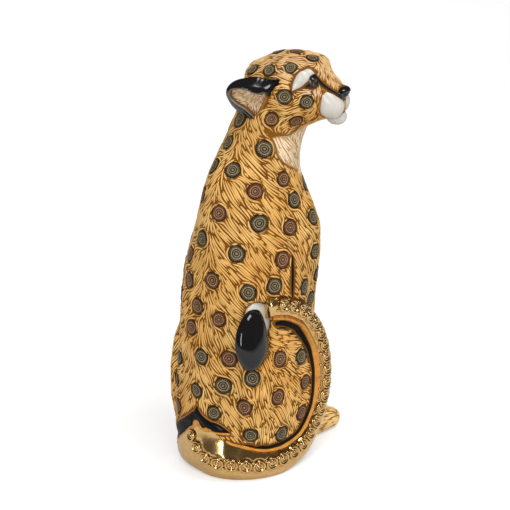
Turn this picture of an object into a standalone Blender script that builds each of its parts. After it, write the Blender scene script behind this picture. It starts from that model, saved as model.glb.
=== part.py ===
"""Seated cheetah, a glazed ceramic figurine, built as closed solids.

Lengths below are millimetres; the mesh is written in metres.  The animal
faces -Y, its right side is -X and it sits on the plane z = 0.
"""
import math

import bmesh
import bpy
import numpy as np
from mathutils import Vector

MM = 0.001
GAP = 0.34            # clearance between neighbouring solids
THIN_ABOVE = 420      # triangles a part may keep before it is thinned
THIN_RATIO = 0.68
WIDER_GAPS = {"tail_root_band": 0.8, "tail_tip_band": 0.5, "thigh_left": 0.42, "thigh_right": 0.4}
TOTAL_HEIGHT = 298.0  # floor to crown

# ------------------------------------------------------------------ trunk
# height, chest front, widest line, spine, half width, roundness back, front
TRUNK = (
    (-4.0, -22.0, 6.0, 48.0, 36.0, 2.3, 2.3),
    (6.0, -25.0, 6.0, 54.0, 41.0, 2.4, 2.3),
    (30.0, -25.0, 6.0, 56.0, 42.5, 2.4, 2.3),
    (54.0, -25.0, 5.0, 55.5, 42.0, 2.3, 2.3),
    (82.0, -27.0, 4.0, 54.0, 42.0, 2.2, 2.3),
    (104.0, -32.0, 3.0, 52.0, 43.5, 2.2, 2.25),
    (125.0, -38.0, 2.0, 49.5, 44.5, 2.25, 2.2),
    (147.0, -44.0, -1.0, 47.0, 43.5, 2.2, 2.2),
    (160.0, -48.0, -4.0, 45.0, 42.0, 2.1, 2.2),
    (175.0, -52.0, -8.0, 43.5, 39.5, 1.9, 2.2),
    (190.0, -50.0, -9.0, 41.5, 36.0, 1.8, 2.1),
    (204.0, -44.0, -8.0, 38.0, 32.0, 1.85, 2.0),
    (218.0, -39.5, -9.0, 30.5, 28.5, 1.95, 2.0),
    (232.0, -41.0, -14.0, 19.0, 26.5, 2.0, 2.0),
)
NECK_CUT_HEIGHT = 212.0
# centre, half width, half depth of the upper neck above the trunk stations
NECK_TOP = (((-1.0, -20.0, 246.0), 25.5, 29.5), ((-3.0, -25.0, 262.0), 23.5, 27.0),
            ((-3.0, -26.0, 276.0), 16.0, 19.0))

# ------------------------------------------------------------------- head
HEAD_ORIGIN = (-17.3, -32.6, 268.6)
HEAD_YAW = 66.0       # turned to the animal's right
# along the face axis: crown height, jaw height, widest height, half width
HEAD = (
    (-36.0, 14.0, -10.0, 0.0, 9.0),
    (-33.0, 19.5, -17.0, -1.0, 17.0),
    (-24.0, 26.0, -24.0, -2.0, 25.0),
    (-11.0, 29.2, -27.0, -3.0, 28.0),
    (0.0, 29.6, -25.5, -3.0, 27.0),
    (9.0, 28.0, -22.0, -1.0, 23.5),
    (15.0, 24.8, -19.0, 2.0, 20.0),
    (20.0, 18.0, -17.0, 0.0, 16.5),
    (25.0, 13.0, -16.5, -1.0, 14.0),
    (30.0, 9.5, -15.5, -2.0, 11.5),
    (33.0, 6.0, -12.0, -3.0, 7.0),
)
# centre (along, right, up) and radii of the glazed face parts
NOSE = ((32.0, 0.0, 4.4), (4.6, 6.6, 4.6))
MUZZLE = ((24.6, 7.2, -5.6), (9.6, 8.0, 9.6))
CHIN = ((27.6, 0.0, -16.4), (6.6, 7.2, 5.0))
EYE = ((10.6, 17.4, 10.0), (5.2, 3.6, 4.4))
BROW_PATCH = ((5.6, 19.2, 11.4), (8.6, 4.0, 8.6))
# ear sections: along, right, up, half thickness, half height
EAR = (
    (-5.0, 21.5, 12.8, 1.2, 1.2),
    (-12.0, 22.0, 9.5, 4.5, 5.0),
    (-18.0, 22.5, 3.5, 6.5, 9.5),
    (-24.0, 23.5, -1.5, 7.5, 14.5),
    (-30.0, 25.0, 0.0, 7.0, 13.0),
    (-36.0, 27.0, 1.3, 5.5, 9.8),
    (-41.0, 29.0, 2.5, 4.0, 6.0),
    (-44.0, 30.0, 3.5, 1.2, 2.0),
)
# the hollow of the ear, opening outward and down
EAR_CUP = (
    (-13.0, 30.0, 0.0, 2.0, 2.0),
    (-18.0, 31.5, -3.5, 4.5, 6.0),
    (-24.0, 32.5, -4.5, 5.5, 9.5),
    (-30.0, 33.0, -3.0, 5.0, 9.0),
    (-36.0, 33.5, -0.5, 3.5, 6.0),
    (-40.0, 34.0, 1.0, 2.0, 3.0),
)

# ------------------------------------------------------------------- legs
# centre, half width, half depth, from the shoulder to the wrist (right side)
FORELEG = (
    ((-23.0, -14.0, 200.0), 5.0, 7.0),
    ((-26.5, -17.0, 190.0), 11.5, 17.0),
    ((-28.5, -18.5, 172.0), 13.5, 20.0),
    ((-28.5, -18.5, 150.0), 13.0, 19.0),
    ((-27.0, -20.0, 130.0), 12.0, 16.5),
    ((-25.0, -23.5, 108.0), 11.0, 13.5),
    ((-23.0, -28.0, 82.0), 10.0, 12.0),
    ((-20.0, -35.0, 52.0), 9.5, 11.0),
    ((-17.5, -41.0, 26.0), 9.5, 11.0),
    ((-17.0, -43.0, 17.0), 7.0, 8.0),
)
# along the foot: centre, half width, half height
FOREPAW = (
    ((-17.0, -35.0, 9.0), 5.0, 8.0),
    ((-17.0, -38.5, 10.5), 8.5, 10.5),
    ((-17.0, -48.0, 11.0), 10.0, 12.0),
    ((-17.0, -60.0, 9.0), 10.5, 10.5),
    ((-17.0, -71.0, 7.0), 10.0, 8.0),
    ((-17.0, -76.5, 6.0), 7.5, 6.0),
    ((-17.0, -79.0, 5.5), 3.5, 3.5),
)
THIGH_CENTRE = (33.5, 1.0, 59.0)
THIGH_IN_RIGHT = 2.5            # the right haunch is flatter, under the tail
THIGH_RADII = (16.0, 44.0, 63.0)
THIGH_ROUNDNESS = 2.25
HINDPAW = (
    ((36.0, -12.0, 8.0), 6.0, 8.0),
    ((36.0, -22.0, 9.0), 10.0, 10.0),
    ((34.5, -38.0, 8.0), 10.5, 10.0),
    ((33.0, -52.0, 6.5), 10.0, 8.5),
    ((32.0, -60.0, 5.5), 7.0, 6.0),
    ((32.0, -62.5, 5.0), 3.0, 3.0),
)

# ------------------------------------------------------------------- tail
# centre, half height across the length, half thickness out from the body
TAIL = (
    ((33.0, 35.0, 5.0), 3.0, 3.0),
    ((27.0, 41.0, 9.0), 9.0, 5.5),
    ((14.0, 47.5, 17.0), 17.5, 7.0),
    ((0.0, 50.5, 22.0), 23.0, 7.5),
    ((-14.0, 47.5, 19.0), 20.5, 8.0),
    ((-26.0, 38.5, 16.0), 18.0, 8.5),
    ((-34.5, 25.0, 12.5), 14.5, 8.5),
    ((-38.5, 9.0, 12.0), 13.5, 8.5),
    ((-39.5, -9.0, 17.5), 12.5, 8.5),
    ((-39.5, -22.0, 31.0), 11.0, 8.5),
    ((-39.5, -29.5, 48.0), 10.0, 8.5),
    ((-40.0, -31.0, 66.0), 9.3, 8.5),
    ((-40.0, -28.0, 85.0), 9.0, 8.5),
    ((-40.0, -20.0, 102.0), 9.0, 8.5),
    ((-40.0, -8.0, 116.0), 8.8, 8.2),
    ((-39.5, 6.0, 125.5), 8.4, 7.8),
    ((-38.0, 17.0, 129.5), 8.0, 7.2),
    ((-37.0, 24.0, 130.0), 7.6, 6.6),
)
TAIL_STEPS = 31
TAIL_LEAN = 0.16                # the root leans in toward the floor
TAIL_OUT = (1.0, 1.9)           # outward lean of the flattened section
TAIL_SPLITS = (0.40, 0.66)      # share of the length: base, side, arch
# the hanging tip: centre, half width, half thickness
TAIL_TIP = (
    ((-38.0, 27.0, 129.5), 3.0, 4.0),
    ((-38.0, 30.0, 127.0), 8.0, 6.0),
    ((-37.0, 34.5, 120.0), 12.0, 7.5),
    ((-36.0, 38.0, 110.0), 15.5, 8.5),
    ((-36.0, 39.0, 101.0), 15.5, 8.5),
    ((-36.0, 38.0, 93.0), 11.5, 7.0),
    ((-36.0, 37.0, 88.0), 4.0, 3.0),
)

# the pale band hooding the tip: centre and radii
TAIL_TIP_BAND = ((-37.2, 35.8, 122.6), (7.3, 15.7, 14.9))
# the pointed band over the tail root: along the rump, height, half height
ROOT_BAND = ((38.0, 10.0, 4.0), (30.0, 27.0, 6.5), (13.0, 42.0, 5.2), (0.0, 52.0, 5.5),
             (-8.0, 44.5, 4.6), (-17.0, 39.5, 3.4), (-27.0, 37.0, 1.2))


# ---------------------------------------------------------------- helpers
WORLD_AXES = tuple(np.eye(3))


def clear_scene():
    for thing in list(bpy.data.objects):
        bpy.data.objects.remove(thing, do_unlink=True)


def glaze(name, colour, roughness):
    """One ceramic glaze material."""
    mat = bpy.data.materials.new(name)
    mat.use_nodes = True
    shader = mat.node_tree.nodes["Principled BSDF"]
    shader.inputs["Base Color"].default_value = (*colour, 1.0)
    shader.inputs["Roughness"].default_value = roughness
    return mat


def mesh_object(name, points, faces):
    mesh = bpy.data.meshes.new(name)
    mesh.from_pydata([tuple(p) for p in points], [], faces)
    obj = bpy.data.objects.new(name, mesh)
    bpy.context.collection.objects.link(obj)
    outward(obj)
    return obj


def outward(obj):
    work = bmesh.new()
    work.from_mesh(obj.data)
    bmesh.ops.recalc_face_normals(work, faces=work.faces)
    work.to_mesh(obj.data)
    work.free()


def smooth_curve(rows, count, spread=None):
    """Catmull-Rom interpolation of rows of numbers at `count` even steps."""
    rows = np.asarray(rows, float)
    ends = np.vstack([2 * rows[0] - rows[1], rows, 2 * rows[-1] - rows[-2]])
    where = np.linspace(0, len(rows) - 1, count) if spread is None else spread
    result = []
    for w in where:
        i = min(int(w), len(rows) - 2)
        t = w - i
        a, b, c, d = ends[i:i + 4]
        result.append(0.5 * (2 * b + (c - a) * t + (2 * a - 5 * b + 4 * c - d) * t ** 2
                             + (3 * b - a - 3 * c + d) * t ** 3))
    return np.array(result)


def oval(half_a, half_b, power, count, half_b2=None, power2=None):
    """Superellipse points (a, b); the second pair shapes the -b half."""
    half_b2 = half_b if half_b2 is None else half_b2
    power2 = power if power2 is None else power2
    out = []
    for step in range(count):
        angle = 2 * math.pi * step / count
        ca, sa = math.cos(angle), math.sin(angle)
        p = power if sa >= 0 else power2
        b = half_b if sa >= 0 else half_b2
        out.append((half_a * math.copysign(abs(ca) ** (2 / p), ca),
                    b * math.copysign(abs(sa) ** (2 / p), sa)))
    return np.array(out)


def skin_rings(name, rings):
    """Close a stack of equal rings with fans at both ends."""
    count = len(rings[0])
    points = [p for ring in rings for p in ring]
    faces = []
    for i in range(len(rings) - 1):
        for j in range(count):
            k = (j + 1) % count
            faces.append((i * count + j, i * count + k, (i + 1) * count + k, (i + 1) * count + j))
    for ring, base in ((rings[0], 0), (rings[-1], (len(rings) - 1) * count)):
        points.append(np.mean(ring, axis=0))
        faces += [(base + j, base + (j + 1) % count, len(points) - 1) for j in range(count)]
    return mesh_object(name, np.array(points), faces)


def limb(name, stations, side, count=20, rings=18, power=2.2):
    """A tube along stations of (centre, half across, half through)."""
    rows = [(*c, a, b) for c, a, b in stations]
    rows = smooth_curve(rows, rings)
    side = np.asarray(side, float)
    out = []
    for i, row in enumerate(rows):
        ahead = rows[min(i + 1, rings - 1)][:3] - rows[max(i - 1, 0)][:3]
        ahead /= np.linalg.norm(ahead)
        across = side - ahead * side.dot(ahead)
        across /= np.linalg.norm(across)
        through = np.cross(ahead, across)
        pts = oval(max(row[3], 0.6), max(row[4], 0.6), power, count)
        out.append(np.array([row[:3] + p[0] * across + p[1] * through for p in pts]))
    return skin_rings(name, out)


def ellipsoid(name, centre, axes, radii, power=2.0, count=20, rings=12):
    """Superellipsoid about three unit axes."""
    out = []
    for i in range(rings):
        lat = math.pi * (i + 0.5) / rings - math.pi / 2
        cl, sl = math.cos(lat), math.sin(lat)
        cl, sl = cl ** (2 / power), math.copysign(abs(sl) ** (2 / power), sl)
        ring = [centre + axes[0] * radii[0] * cl * p[0] + axes[1] * radii[1] * cl * p[1]
                + axes[2] * radii[2] * sl for p in oval(1, 1, power, count)]
        out.append(np.array(ring))
    return skin_rings(name, out)


def mirrored(rows):
    return tuple(((-c[0], c[1], c[2]), a, b) for c, a, b in rows)


def grown(obj, amount, name="cutter"):
    """A copy of a solid pushed outward by `amount` millimetres."""
    mesh = obj.data.copy()
    work = bmesh.new()
    work.from_mesh(mesh)
    bmesh.ops.recalc_face_normals(work, faces=work.faces)
    work.normal_update()
    shifts = [v.normal * amount for v in work.verts]
    for v, shift in zip(work.verts, shifts):
        v.co += shift
    work.to_mesh(mesh)
    work.free()
    copy = bpy.data.objects.new(name, mesh)
    bpy.context.collection.objects.link(copy)
    return copy


def turn_shared_diagonals(work):
    """Where two flat triangles share an edge others already use, turn it."""
    for edge in [e for e in work.edges if len(e.link_faces) == 4]:
        ends = set(edge.verts)
        faces = list(edge.link_faces)
        pairs = [(f, g) for i, f in enumerate(faces) for g in faces[i + 1:]
                 if f.normal.dot(g.normal) > 0.999]
        for one, two in pairs:
            c = next(v for v in one.verts if v not in ends)
            d = next(v for v in two.verts if v not in ends)
            if c is d or work.edges.get((c, d)):
                continue
            order = list(one.verts)
            a = order[(order.index(c) + 1) % 3]
            b = order[(order.index(c) + 2) % 3]
            bmesh.ops.delete(work, geom=[one, two], context="FACES_ONLY")
            work.faces.new((c, a, d))
            work.faces.new((c, d, b))
            break
    work.normal_update()


def volume(mesh, ngons="BEAUTY"):
    """Split a mesh into triangles; its volume, and whether it is closed."""
    work = bmesh.new()
    work.from_mesh(mesh)
    bmesh.ops.triangulate(work, faces=work.faces, ngon_method=ngons)
    work.normal_update()
    turn_shared_diagonals(work)
    work.to_mesh(mesh)
    size, closed = work.calc_volume(signed=True), all(e.is_manifold for e in work.edges)
    work.free()
    corners = len({tuple(sorted(p.vertices)) for p in mesh.polygons})
    return size, closed and corners == len(mesh.polygons)


def joined(objects, name="cutter"):
    """One mesh object holding copies of several solids."""
    work = bmesh.new()
    for obj in objects:
        work.from_mesh(obj.data)
    mesh = bpy.data.meshes.new(name)
    work.to_mesh(mesh)
    work.free()
    cutter = bpy.data.objects.new(name, mesh)
    bpy.context.collection.objects.link(cutter)
    return cutter


def subtract(obj, others, gap=GAP, least=0.05):
    """Cut solids, grown by the gap, out of obj; nudge the gap if a cut fails."""
    for nudge in (0.0, 0.013, -0.017, 0.029, -0.031, 0.047, 0.061, 0.071, 0.083, 0.097):
        pieces = [grown(other, gap + nudge) for other in others]
        cutter = joined(pieces)
        mod = obj.modifiers.new("cut", "BOOLEAN")
        mod.operation, mod.solver, mod.object = "DIFFERENCE", "EXACT", cutter
        mod.use_self = len(others) > 1
        graph = bpy.context.evaluated_depsgraph_get()
        mesh = bpy.data.meshes.new_from_object(obj.evaluated_get(graph))
        obj.modifiers.clear()
        for piece in (cutter, *pieces):
            bpy.data.objects.remove(piece, do_unlink=True)
        for ngons in ("BEAUTY", "EAR_CLIP"):
            trial = mesh.copy()
            size, closed = volume(trial, ngons)
            if closed and size > least * volume(obj.data)[0]:
                obj.data = trial
                return
    raise RuntimeError(f"{obj.name} could not be cut")


def keep_side(obj, point, normal, gap=0.0):
    """Keep the part of obj on the far side of a plane, and close it."""
    work = bmesh.new()
    work.from_mesh(obj.data)
    normal = Vector(normal).normalized()
    spot = Vector(point) + normal * gap
    cut = bmesh.ops.bisect_plane(work, geom=work.verts[:] + work.edges[:] + work.faces[:],
                                 plane_co=spot, plane_no=normal, clear_inner=True, dist=1e-4)
    edges = [e for e in cut["geom_cut"] if isinstance(e, bmesh.types.BMEdge)]
    bmesh.ops.holes_fill(work, edges=edges, sides=0)
    bmesh.ops.recalc_face_normals(work, faces=work.faces)
    work.to_mesh(obj.data)
    work.free()


def twin(obj, name):
    copy = bpy.data.objects.new(name, obj.data.copy())
    bpy.context.collection.objects.link(copy)
    return copy


def bulk(group):
    """Box volume spanned by a group of vertices."""
    spots = np.array([v.co[:] for v in group])
    return float(np.prod(spots.max(axis=0) - spots.min(axis=0)))


def weld(obj):
    """Merge near-double corners as far as the mesh stays closed."""
    for distance in (0.02, 0.01, 0.005, 0.002, 0.001):
        work = bmesh.new()
        work.from_mesh(obj.data)
        bmesh.ops.triangulate(work, faces=work.faces)
        bmesh.ops.remove_doubles(work, verts=work.verts, dist=distance)
        closed = all(edge.is_manifold for edge in work.edges)
        if closed:
            work.to_mesh(obj.data)
        work.free()
        if closed:
            return


def biggest_piece(obj):
    """Drop crumbs left by the cuts and weld the mesh."""
    weld(obj)
    work = bmesh.new()
    work.from_mesh(obj.data)
    left, groups = set(work.verts), []
    while left:
        stack, group = [left.pop()], []
        while stack:
            vert = stack.pop()
            group.append(vert)
            for edge in vert.link_edges:
                other = edge.other_vert(vert)
                if other in left:
                    left.remove(other)
                    stack.append(other)
        groups.append(group)
    groups.sort(key=bulk)
    for group in groups[:-1]:
        bmesh.ops.delete(work, geom=group, context="VERTS")
    bmesh.ops.triangulate(work, faces=work.faces)
    bmesh.ops.recalc_face_normals(work, faces=work.faces)
    work.to_mesh(obj.data)
    work.free()


# ------------------------------------------------------------------ parts
def head_axes():
    yaw = math.radians(HEAD_YAW)
    ahead = np.array((-math.sin(yaw), -math.cos(yaw), 0.0))
    right = np.array((-math.cos(yaw), math.sin(yaw), 0.0))
    return ahead, right, np.array((0.0, 0.0, 1.0))


def at_head(along, right, up):
    a, r, u = head_axes()
    return np.array(HEAD_ORIGIN) + a * along + r * right + u * up


def trunk_and_neck():
    """One loft from the seat to the top of the neck."""
    rows = [(z, 0.0, mid, hw, back - mid, mid - front, nb, nf)
            for z, front, mid, back, hw, nb, nf in TRUNK]
    rows += [(c[2], c[0], c[1], a, b, b, 2.0, 2.0) for c, a, b in NECK_TOP]
    rows = smooth_curve(rows, 24)
    rings = []
    for z, x, y, hw, back, front, nb, nf in rows:
        pts = oval(hw, back, nb, 24, front, nf)
        rings.append(np.array([(x + p[0], y + p[1], z) for p in pts]))
    return skin_rings("trunk", rings)


def head_solid():
    ahead, right, up = head_axes()
    rows = smooth_curve(HEAD, 14)
    rings = []
    for along, top, low, mid, hw in rows:
        pts = oval(hw, top - mid, 2.1, 20, mid - low, 2.2)
        centre = np.array(HEAD_ORIGIN) + ahead * along + up * mid
        rings.append(np.array([centre + right * p[0] + up * p[1] for p in pts]))
    return skin_rings("head", rings)


def face_part(name, sizes, side=1.0, power=2.0, count=10, rings=6):
    (along, right, up), radii = sizes
    ahead, rightward, upward = head_axes()
    return ellipsoid(name, at_head(along, right * side, up),
                     (ahead, rightward, upward), radii, power, count, rings)


def ear_loft(name, sections, side, count, steps):
    """Oval sections in the head's cross plane, lofted along the head."""
    ahead, right, up = head_axes()
    rings = []
    for along, rightward, upward, thick, tall in smooth_curve(sections, steps):
        centre = at_head(along, rightward * side, upward)
        pts = oval(max(thick, 0.8), max(tall, 0.8), 2.0, count)
        rings.append(np.array([centre + right * p[0] + up * p[1] for p in pts]))
    return skin_rings(name, rings)


def ear(name, side):
    """A cupped leaf laid back along the side of the skull."""
    shell = ear_loft(name, EAR, side, 12, 9)
    cup = ear_loft("cup", EAR_CUP, side, 10, 6)
    subtract(shell, [cup], 0.0)
    bpy.data.objects.remove(cup, do_unlink=True)
    return shell


def thigh(name, side):
    inset = THIGH_IN_RIGHT if side < 0 else 0.0
    centre = np.array(((THIGH_CENTRE[0] - inset) * side, THIGH_CENTRE[1], THIGH_CENTRE[2]))
    return ellipsoid(name, centre, WORLD_AXES, THIGH_RADII, THIGH_ROUNDNESS, 18, 10)


def tail_solid():
    """The whole tail as a flattened tube lying against the haunch."""
    rows = smooth_curve([(*c, a, b) for c, a, b in TAIL], TAIL_STEPS)
    rings = []
    for i, row in enumerate(rows):
        ahead = rows[min(i + 1, TAIL_STEPS - 1)][:3] - rows[max(i - 1, 0)][:3]
        ahead /= np.linalg.norm(ahead)
        lean = TAIL_LEAN * float(np.clip((row[1] - 15.0) / 20.0, 0, 1)) if row[2] < 40 else 0.0
        out = np.array((row[0] / TAIL_OUT[0], row[1] / TAIL_OUT[1], 0.0))
        out[2] = -lean * np.linalg.norm(out)
        out -= ahead * out.dot(ahead)
        out /= np.linalg.norm(out)
        across = np.cross(ahead, out)
        pts = oval(row[3], row[4], 2.3, 12)
        rings.append(np.array([row[:3] + across * p[0] + out * p[1] for p in pts]))
    return rings


def tail_lengths():
    """Split the tail at thin gaps into base, side and arch."""
    rings = tail_solid()
    marks = [0] + [round(s * (TAIL_STEPS - 1)) for s in TAIL_SPLITS] + [TAIL_STEPS - 1]
    parts = []
    for name, first, last in zip(("tail_base", "tail_side", "tail_arch"), marks, marks[1:]):
        run = [r.copy() for r in rings[first:last + 1]]
        if first:
            step = run[1].mean(axis=0) - run[0].mean(axis=0)
            run[0] = run[0] + step * GAP / np.linalg.norm(step)
        parts.append(skin_rings(name, run))
    return parts


def trunk_surface(x, z):
    """Back of the trunk at side position x and height z."""
    rows = np.array(TRUNK)
    mid, spine, half, power = [np.interp(z, rows[:, 0], rows[:, i]) for i in (2, 3, 4, 5)]
    share = max(1 - abs(x / half) ** power, 0.02) ** (1 / power)
    return mid + (spine - mid) * share


def root_band():
    """A raised chevron strip lying on the rump above the tail root."""
    rows = smooth_curve(ROOT_BAND, 13)
    rings = []
    for x, z, half in rows:
        y = trunk_surface(x, z)
        out = np.array((x / 1600.0, y / 2500.0, 0.0))
        out /= np.linalg.norm(out)
        centre = np.array((x, y, z)) - out * 1.6
        pts = oval(max(half, 0.8), 3.0, 2.4, 8)
        rings.append(np.array([centre + np.array((0, 0, 1.0)) * p[0] + out * p[1] for p in pts]))
    return skin_rings("tail_root_band", rings)


def thin_out(obj, target=THIN_ABOVE):
    """Collapse a dense mesh toward a triangle budget, keeping it closed."""
    count = len(obj.data.polygons)
    if count <= target:
        return
    mod = obj.modifiers.new("thin", "DECIMATE")
    mod.ratio = max(THIN_RATIO if count < 2000 else THIN_RATIO * 0.8, target / count)
    graph = bpy.context.evaluated_depsgraph_get()
    mesh = bpy.data.meshes.new_from_object(obj.evaluated_get(graph))
    obj.modifiers.clear()
    if volume(mesh)[1]:
        obj.data = mesh
        weld(obj)


def level(obj, reach=0.12):
    """Put every vertex close to the floor exactly on it."""
    for vert in obj.data.vertices:
        if vert.co.z < reach:
            vert.co.z = 0.0


def shift_all(objects):
    """Centre the figure on its base."""
    low = np.array([min(v.co[i] for o in objects for v in o.data.vertices) for i in range(3)])
    high = np.array([max(v.co[i] for o in objects for v in o.data.vertices) for i in range(3)])
    move = Vector(((low[0] + high[0]) / 2, (low[1] + high[1]) / 2, low[2]))
    for obj in objects:
        for v in obj.data.vertices:
            v.co = (v.co - move) * MM
        obj.data.update()
    return move


def solids():
    """Every part as a whole solid, before the clearance cuts."""
    body = trunk_and_neck()
    parts = {
        "nose": face_part("nose", NOSE),
        "muzzle_right": face_part("muzzle_right", MUZZLE, 1),
        "muzzle_left": face_part("muzzle_left", MUZZLE, -1),
        "chin": face_part("chin", CHIN),
        "eye_right": face_part("eye_right", EYE, 1),
        "eye_left": face_part("eye_left", EYE, -1),
        "brow_patch_right": face_part("brow_patch_right", BROW_PATCH, 1),
        "brow_patch_left": face_part("brow_patch_left", BROW_PATCH, -1),
        "ear_right": ear("ear_right", 1),
        "ear_left": ear("ear_left", -1),
        "head": head_solid(),
        "neck": twin(body, "neck"),
        "tail_tip": limb("tail_tip", TAIL_TIP, (0, 1, 0), 14, 10, 2.1),
        "tail_tip_band": ellipsoid("tail_tip_band", np.array(TAIL_TIP_BAND[0]), WORLD_AXES, TAIL_TIP_BAND[1],
                                   2.2, 14, 8),
        "forepaw_right": limb("forepaw_right", FOREPAW, (1, 0, 0), 12, 9, 2.4),
        "forepaw_left": limb("forepaw_left", mirrored(FOREPAW), (1, 0, 0), 12, 9, 2.4),
        "hindpaw_left": limb("hindpaw_left", HINDPAW, (1, 0, 0), 12, 8, 2.4),
        "foreleg_right": limb("foreleg_right", FORELEG, (1, 0, 0), 14, 11),
        "foreleg_left": limb("foreleg_left", mirrored(FORELEG), (1, 0, 0), 14, 11),
        "thigh_right": thigh("thigh_right", -1),
        "thigh_left": thigh("thigh_left", 1),
        "trunk": body,
    }
    parts.update((part.name, part) for part in tail_lengths())
    parts["tail_root_band"] = root_band()
    return parts


TAIL_LENGTHS = ("tail_base", "tail_side", "tail_arch")
EARS = ("ear_right", "ear_left")
FACE = ("nose", "muzzle_right", "muzzle_left", "chin", "eye_right", "eye_left",
        "brow_patch_right", "brow_patch_left")
# each part gives way to the parts named after it
GIVES_WAY = {
    "muzzle_right": ("nose",),
    "muzzle_left": ("nose",),
    "chin": ("muzzle_right", "muzzle_left"),
    "brow_patch_right": ("eye_right",),
    "brow_patch_left": ("eye_left",),
    "head": FACE + EARS,
    "neck": ("head",) + EARS,
    "tail_tip_band": ("tail_tip",),
    "tail_arch": ("tail_tip", "tail_tip_band"),
    "tail_root_band": TAIL_LENGTHS,
    "foreleg_right": ("forepaw_right",) + TAIL_LENGTHS,
    "foreleg_left": ("forepaw_left",),
    "forepaw_right": TAIL_LENGTHS,
    "thigh_right": TAIL_LENGTHS + ("tail_tip", "tail_tip_band", "foreleg_right",
                                    "tail_root_band"),
    "thigh_left": ("foreleg_left", "hindpaw_left", "tail_base", "tail_root_band"),
    "hindpaw_left": ("foreleg_left", "forepaw_left"),
    "trunk": ("thigh_right", "thigh_left", "foreleg_right", "foreleg_left", "hindpaw_left",
              "forepaw_right", "forepaw_left") + TAIL_LENGTHS + ("tail_root_band", "tail_tip",
                                                                 "tail_tip_band") + EARS,
}
SLOTS = {
    "black": ("nose", "eye_right", "eye_left", "tail_tip", "tail_root_band") + EARS,
    "white": ("muzzle_right", "muzzle_left", "chin", "brow_patch_right", "brow_patch_left",
              "tail_tip_band"),
    "gold": TAIL_LENGTHS,
}
GLAZES = {"ochre": ((0.62, 0.33, 0.10), 0.5), "black": ((0.012, 0.011, 0.012), 0.08),
          "white": ((0.78, 0.76, 0.72), 0.2), "gold": ((0.72, 0.48, 0.20), 0.15)}


def build():
    clear_scene()
    parts = solids()
    _, right, _ = head_axes()
    keep_side(parts["muzzle_right"], at_head(0, 0.15, 0), right)
    keep_side(parts["muzzle_left"], at_head(0, -0.15, 0), -right)
    keep_side(parts["neck"], (0, 0, NECK_CUT_HEIGHT), (0, 0, 1))
    keep_side(parts["trunk"], (0, 0, NECK_CUT_HEIGHT), (0, 0, -1), GAP)
    whole = {name: twin(part, name + "_whole") for name, part in parts.items()}
    for part in parts.values():
        if min(v.co.z for v in part.data.vertices) < 0:
            keep_side(part, (0, 0, 0), (0, 0, 1))
    for name, others in GIVES_WAY.items():
        subtract(parts[name], [whole[other] for other in others], WIDER_GAPS.get(name, GAP))
    for copy in whole.values():
        bpy.data.objects.remove(copy, do_unlink=True)
    for name, part in parts.items():
        biggest_piece(part)
        thin_out(part)
        level(part)
        slot = next((key for key, names in SLOTS.items() if name in names), "ochre")
        part.data.materials.clear()
        part.data.materials.append(glaze(name + "_glaze", *GLAZES[slot]))
    return shift_all(parts.values())


SHIFT = build()
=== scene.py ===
"""Seated cheetah figurine in glazed ceramic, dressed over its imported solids.

One skin covers the flesh; engraved hair, ringed spots, glossy face parts, ears and a lustred
tail are laid on it.  Sizes in the classes are millimetres, meshes are written in metres.
"""
from __future__ import annotations

import logging
import math
from dataclasses import dataclass, field
from enum import Enum
from typing import Callable, Sequence

import bpy
import numpy as np
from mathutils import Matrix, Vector, noise
from mathutils.bvhtree import BVHTree


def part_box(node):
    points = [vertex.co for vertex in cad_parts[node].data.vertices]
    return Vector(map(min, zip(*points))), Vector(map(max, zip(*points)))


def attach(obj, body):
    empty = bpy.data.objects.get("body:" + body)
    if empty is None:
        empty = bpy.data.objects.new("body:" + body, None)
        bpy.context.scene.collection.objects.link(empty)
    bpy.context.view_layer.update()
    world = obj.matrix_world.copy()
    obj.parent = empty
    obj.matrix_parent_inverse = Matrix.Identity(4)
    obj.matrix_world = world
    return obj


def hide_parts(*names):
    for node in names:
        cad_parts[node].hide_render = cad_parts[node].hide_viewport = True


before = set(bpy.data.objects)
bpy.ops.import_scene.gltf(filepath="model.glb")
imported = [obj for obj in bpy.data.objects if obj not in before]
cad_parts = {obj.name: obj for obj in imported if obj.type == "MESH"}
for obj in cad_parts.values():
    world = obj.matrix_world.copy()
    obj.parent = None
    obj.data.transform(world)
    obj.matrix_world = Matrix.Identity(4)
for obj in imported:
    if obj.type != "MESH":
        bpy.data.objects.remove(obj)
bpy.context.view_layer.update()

MM = 0.001
LOG = logging.getLogger("cheetah")
Array = np.ndarray
Piece = bpy.types.Object
Tree = bpy.types.ShaderNodeTree
Node = bpy.types.ShaderNode
Pair = tuple[float, float]
Triple = tuple[float, float, float]
Places = tuple[Triple, ...]


# ---- drawing
HEAD_ORIGIN = np.array((-17.3, -32.6, 268.6))
HEAD_YAW = math.radians(66.0)
AHEAD = np.array((-math.sin(HEAD_YAW), -math.cos(HEAD_YAW), 0.0))
RIGHT = np.array((-math.cos(HEAD_YAW), math.sin(HEAD_YAW), 0.0))
UP = np.array((0.0, 0.0, 1.0))
NOSE_CENTRE = (32.0, 0.0, 4.4)


def at_head(along: float, right: float, up: float) -> Array:
    """Drawing position of a place given along the face, to its right and up."""
    return HEAD_ORIGIN + AHEAD * along + RIGHT * right + UP * up


def drawing_origin() -> Array:
    """Where the drawing's own origin lies in the shared frame, from the nose solid."""
    low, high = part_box("nose")
    middle = (np.array(low) + np.array(high)) / 2 / MM
    return middle - at_head(*NOSE_CENTRE)


ORIGIN = drawing_origin()


def head_coordinates(points: Array) -> tuple[Array, Array, Array]:
    """Split drawing positions into along, right and up of the head."""
    rel = points - HEAD_ORIGIN
    return rel @ AHEAD, rel @ RIGHT, rel @ UP


def smoothstep(low: float, high: float, value: Array | float) -> Array | float:
    """A soft step from 0 at low to 1 at high."""
    share = np.clip((value - low) / (high - low), 0.0, 1.0)
    return share * share * (3.0 - 2.0 * share)


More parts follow.
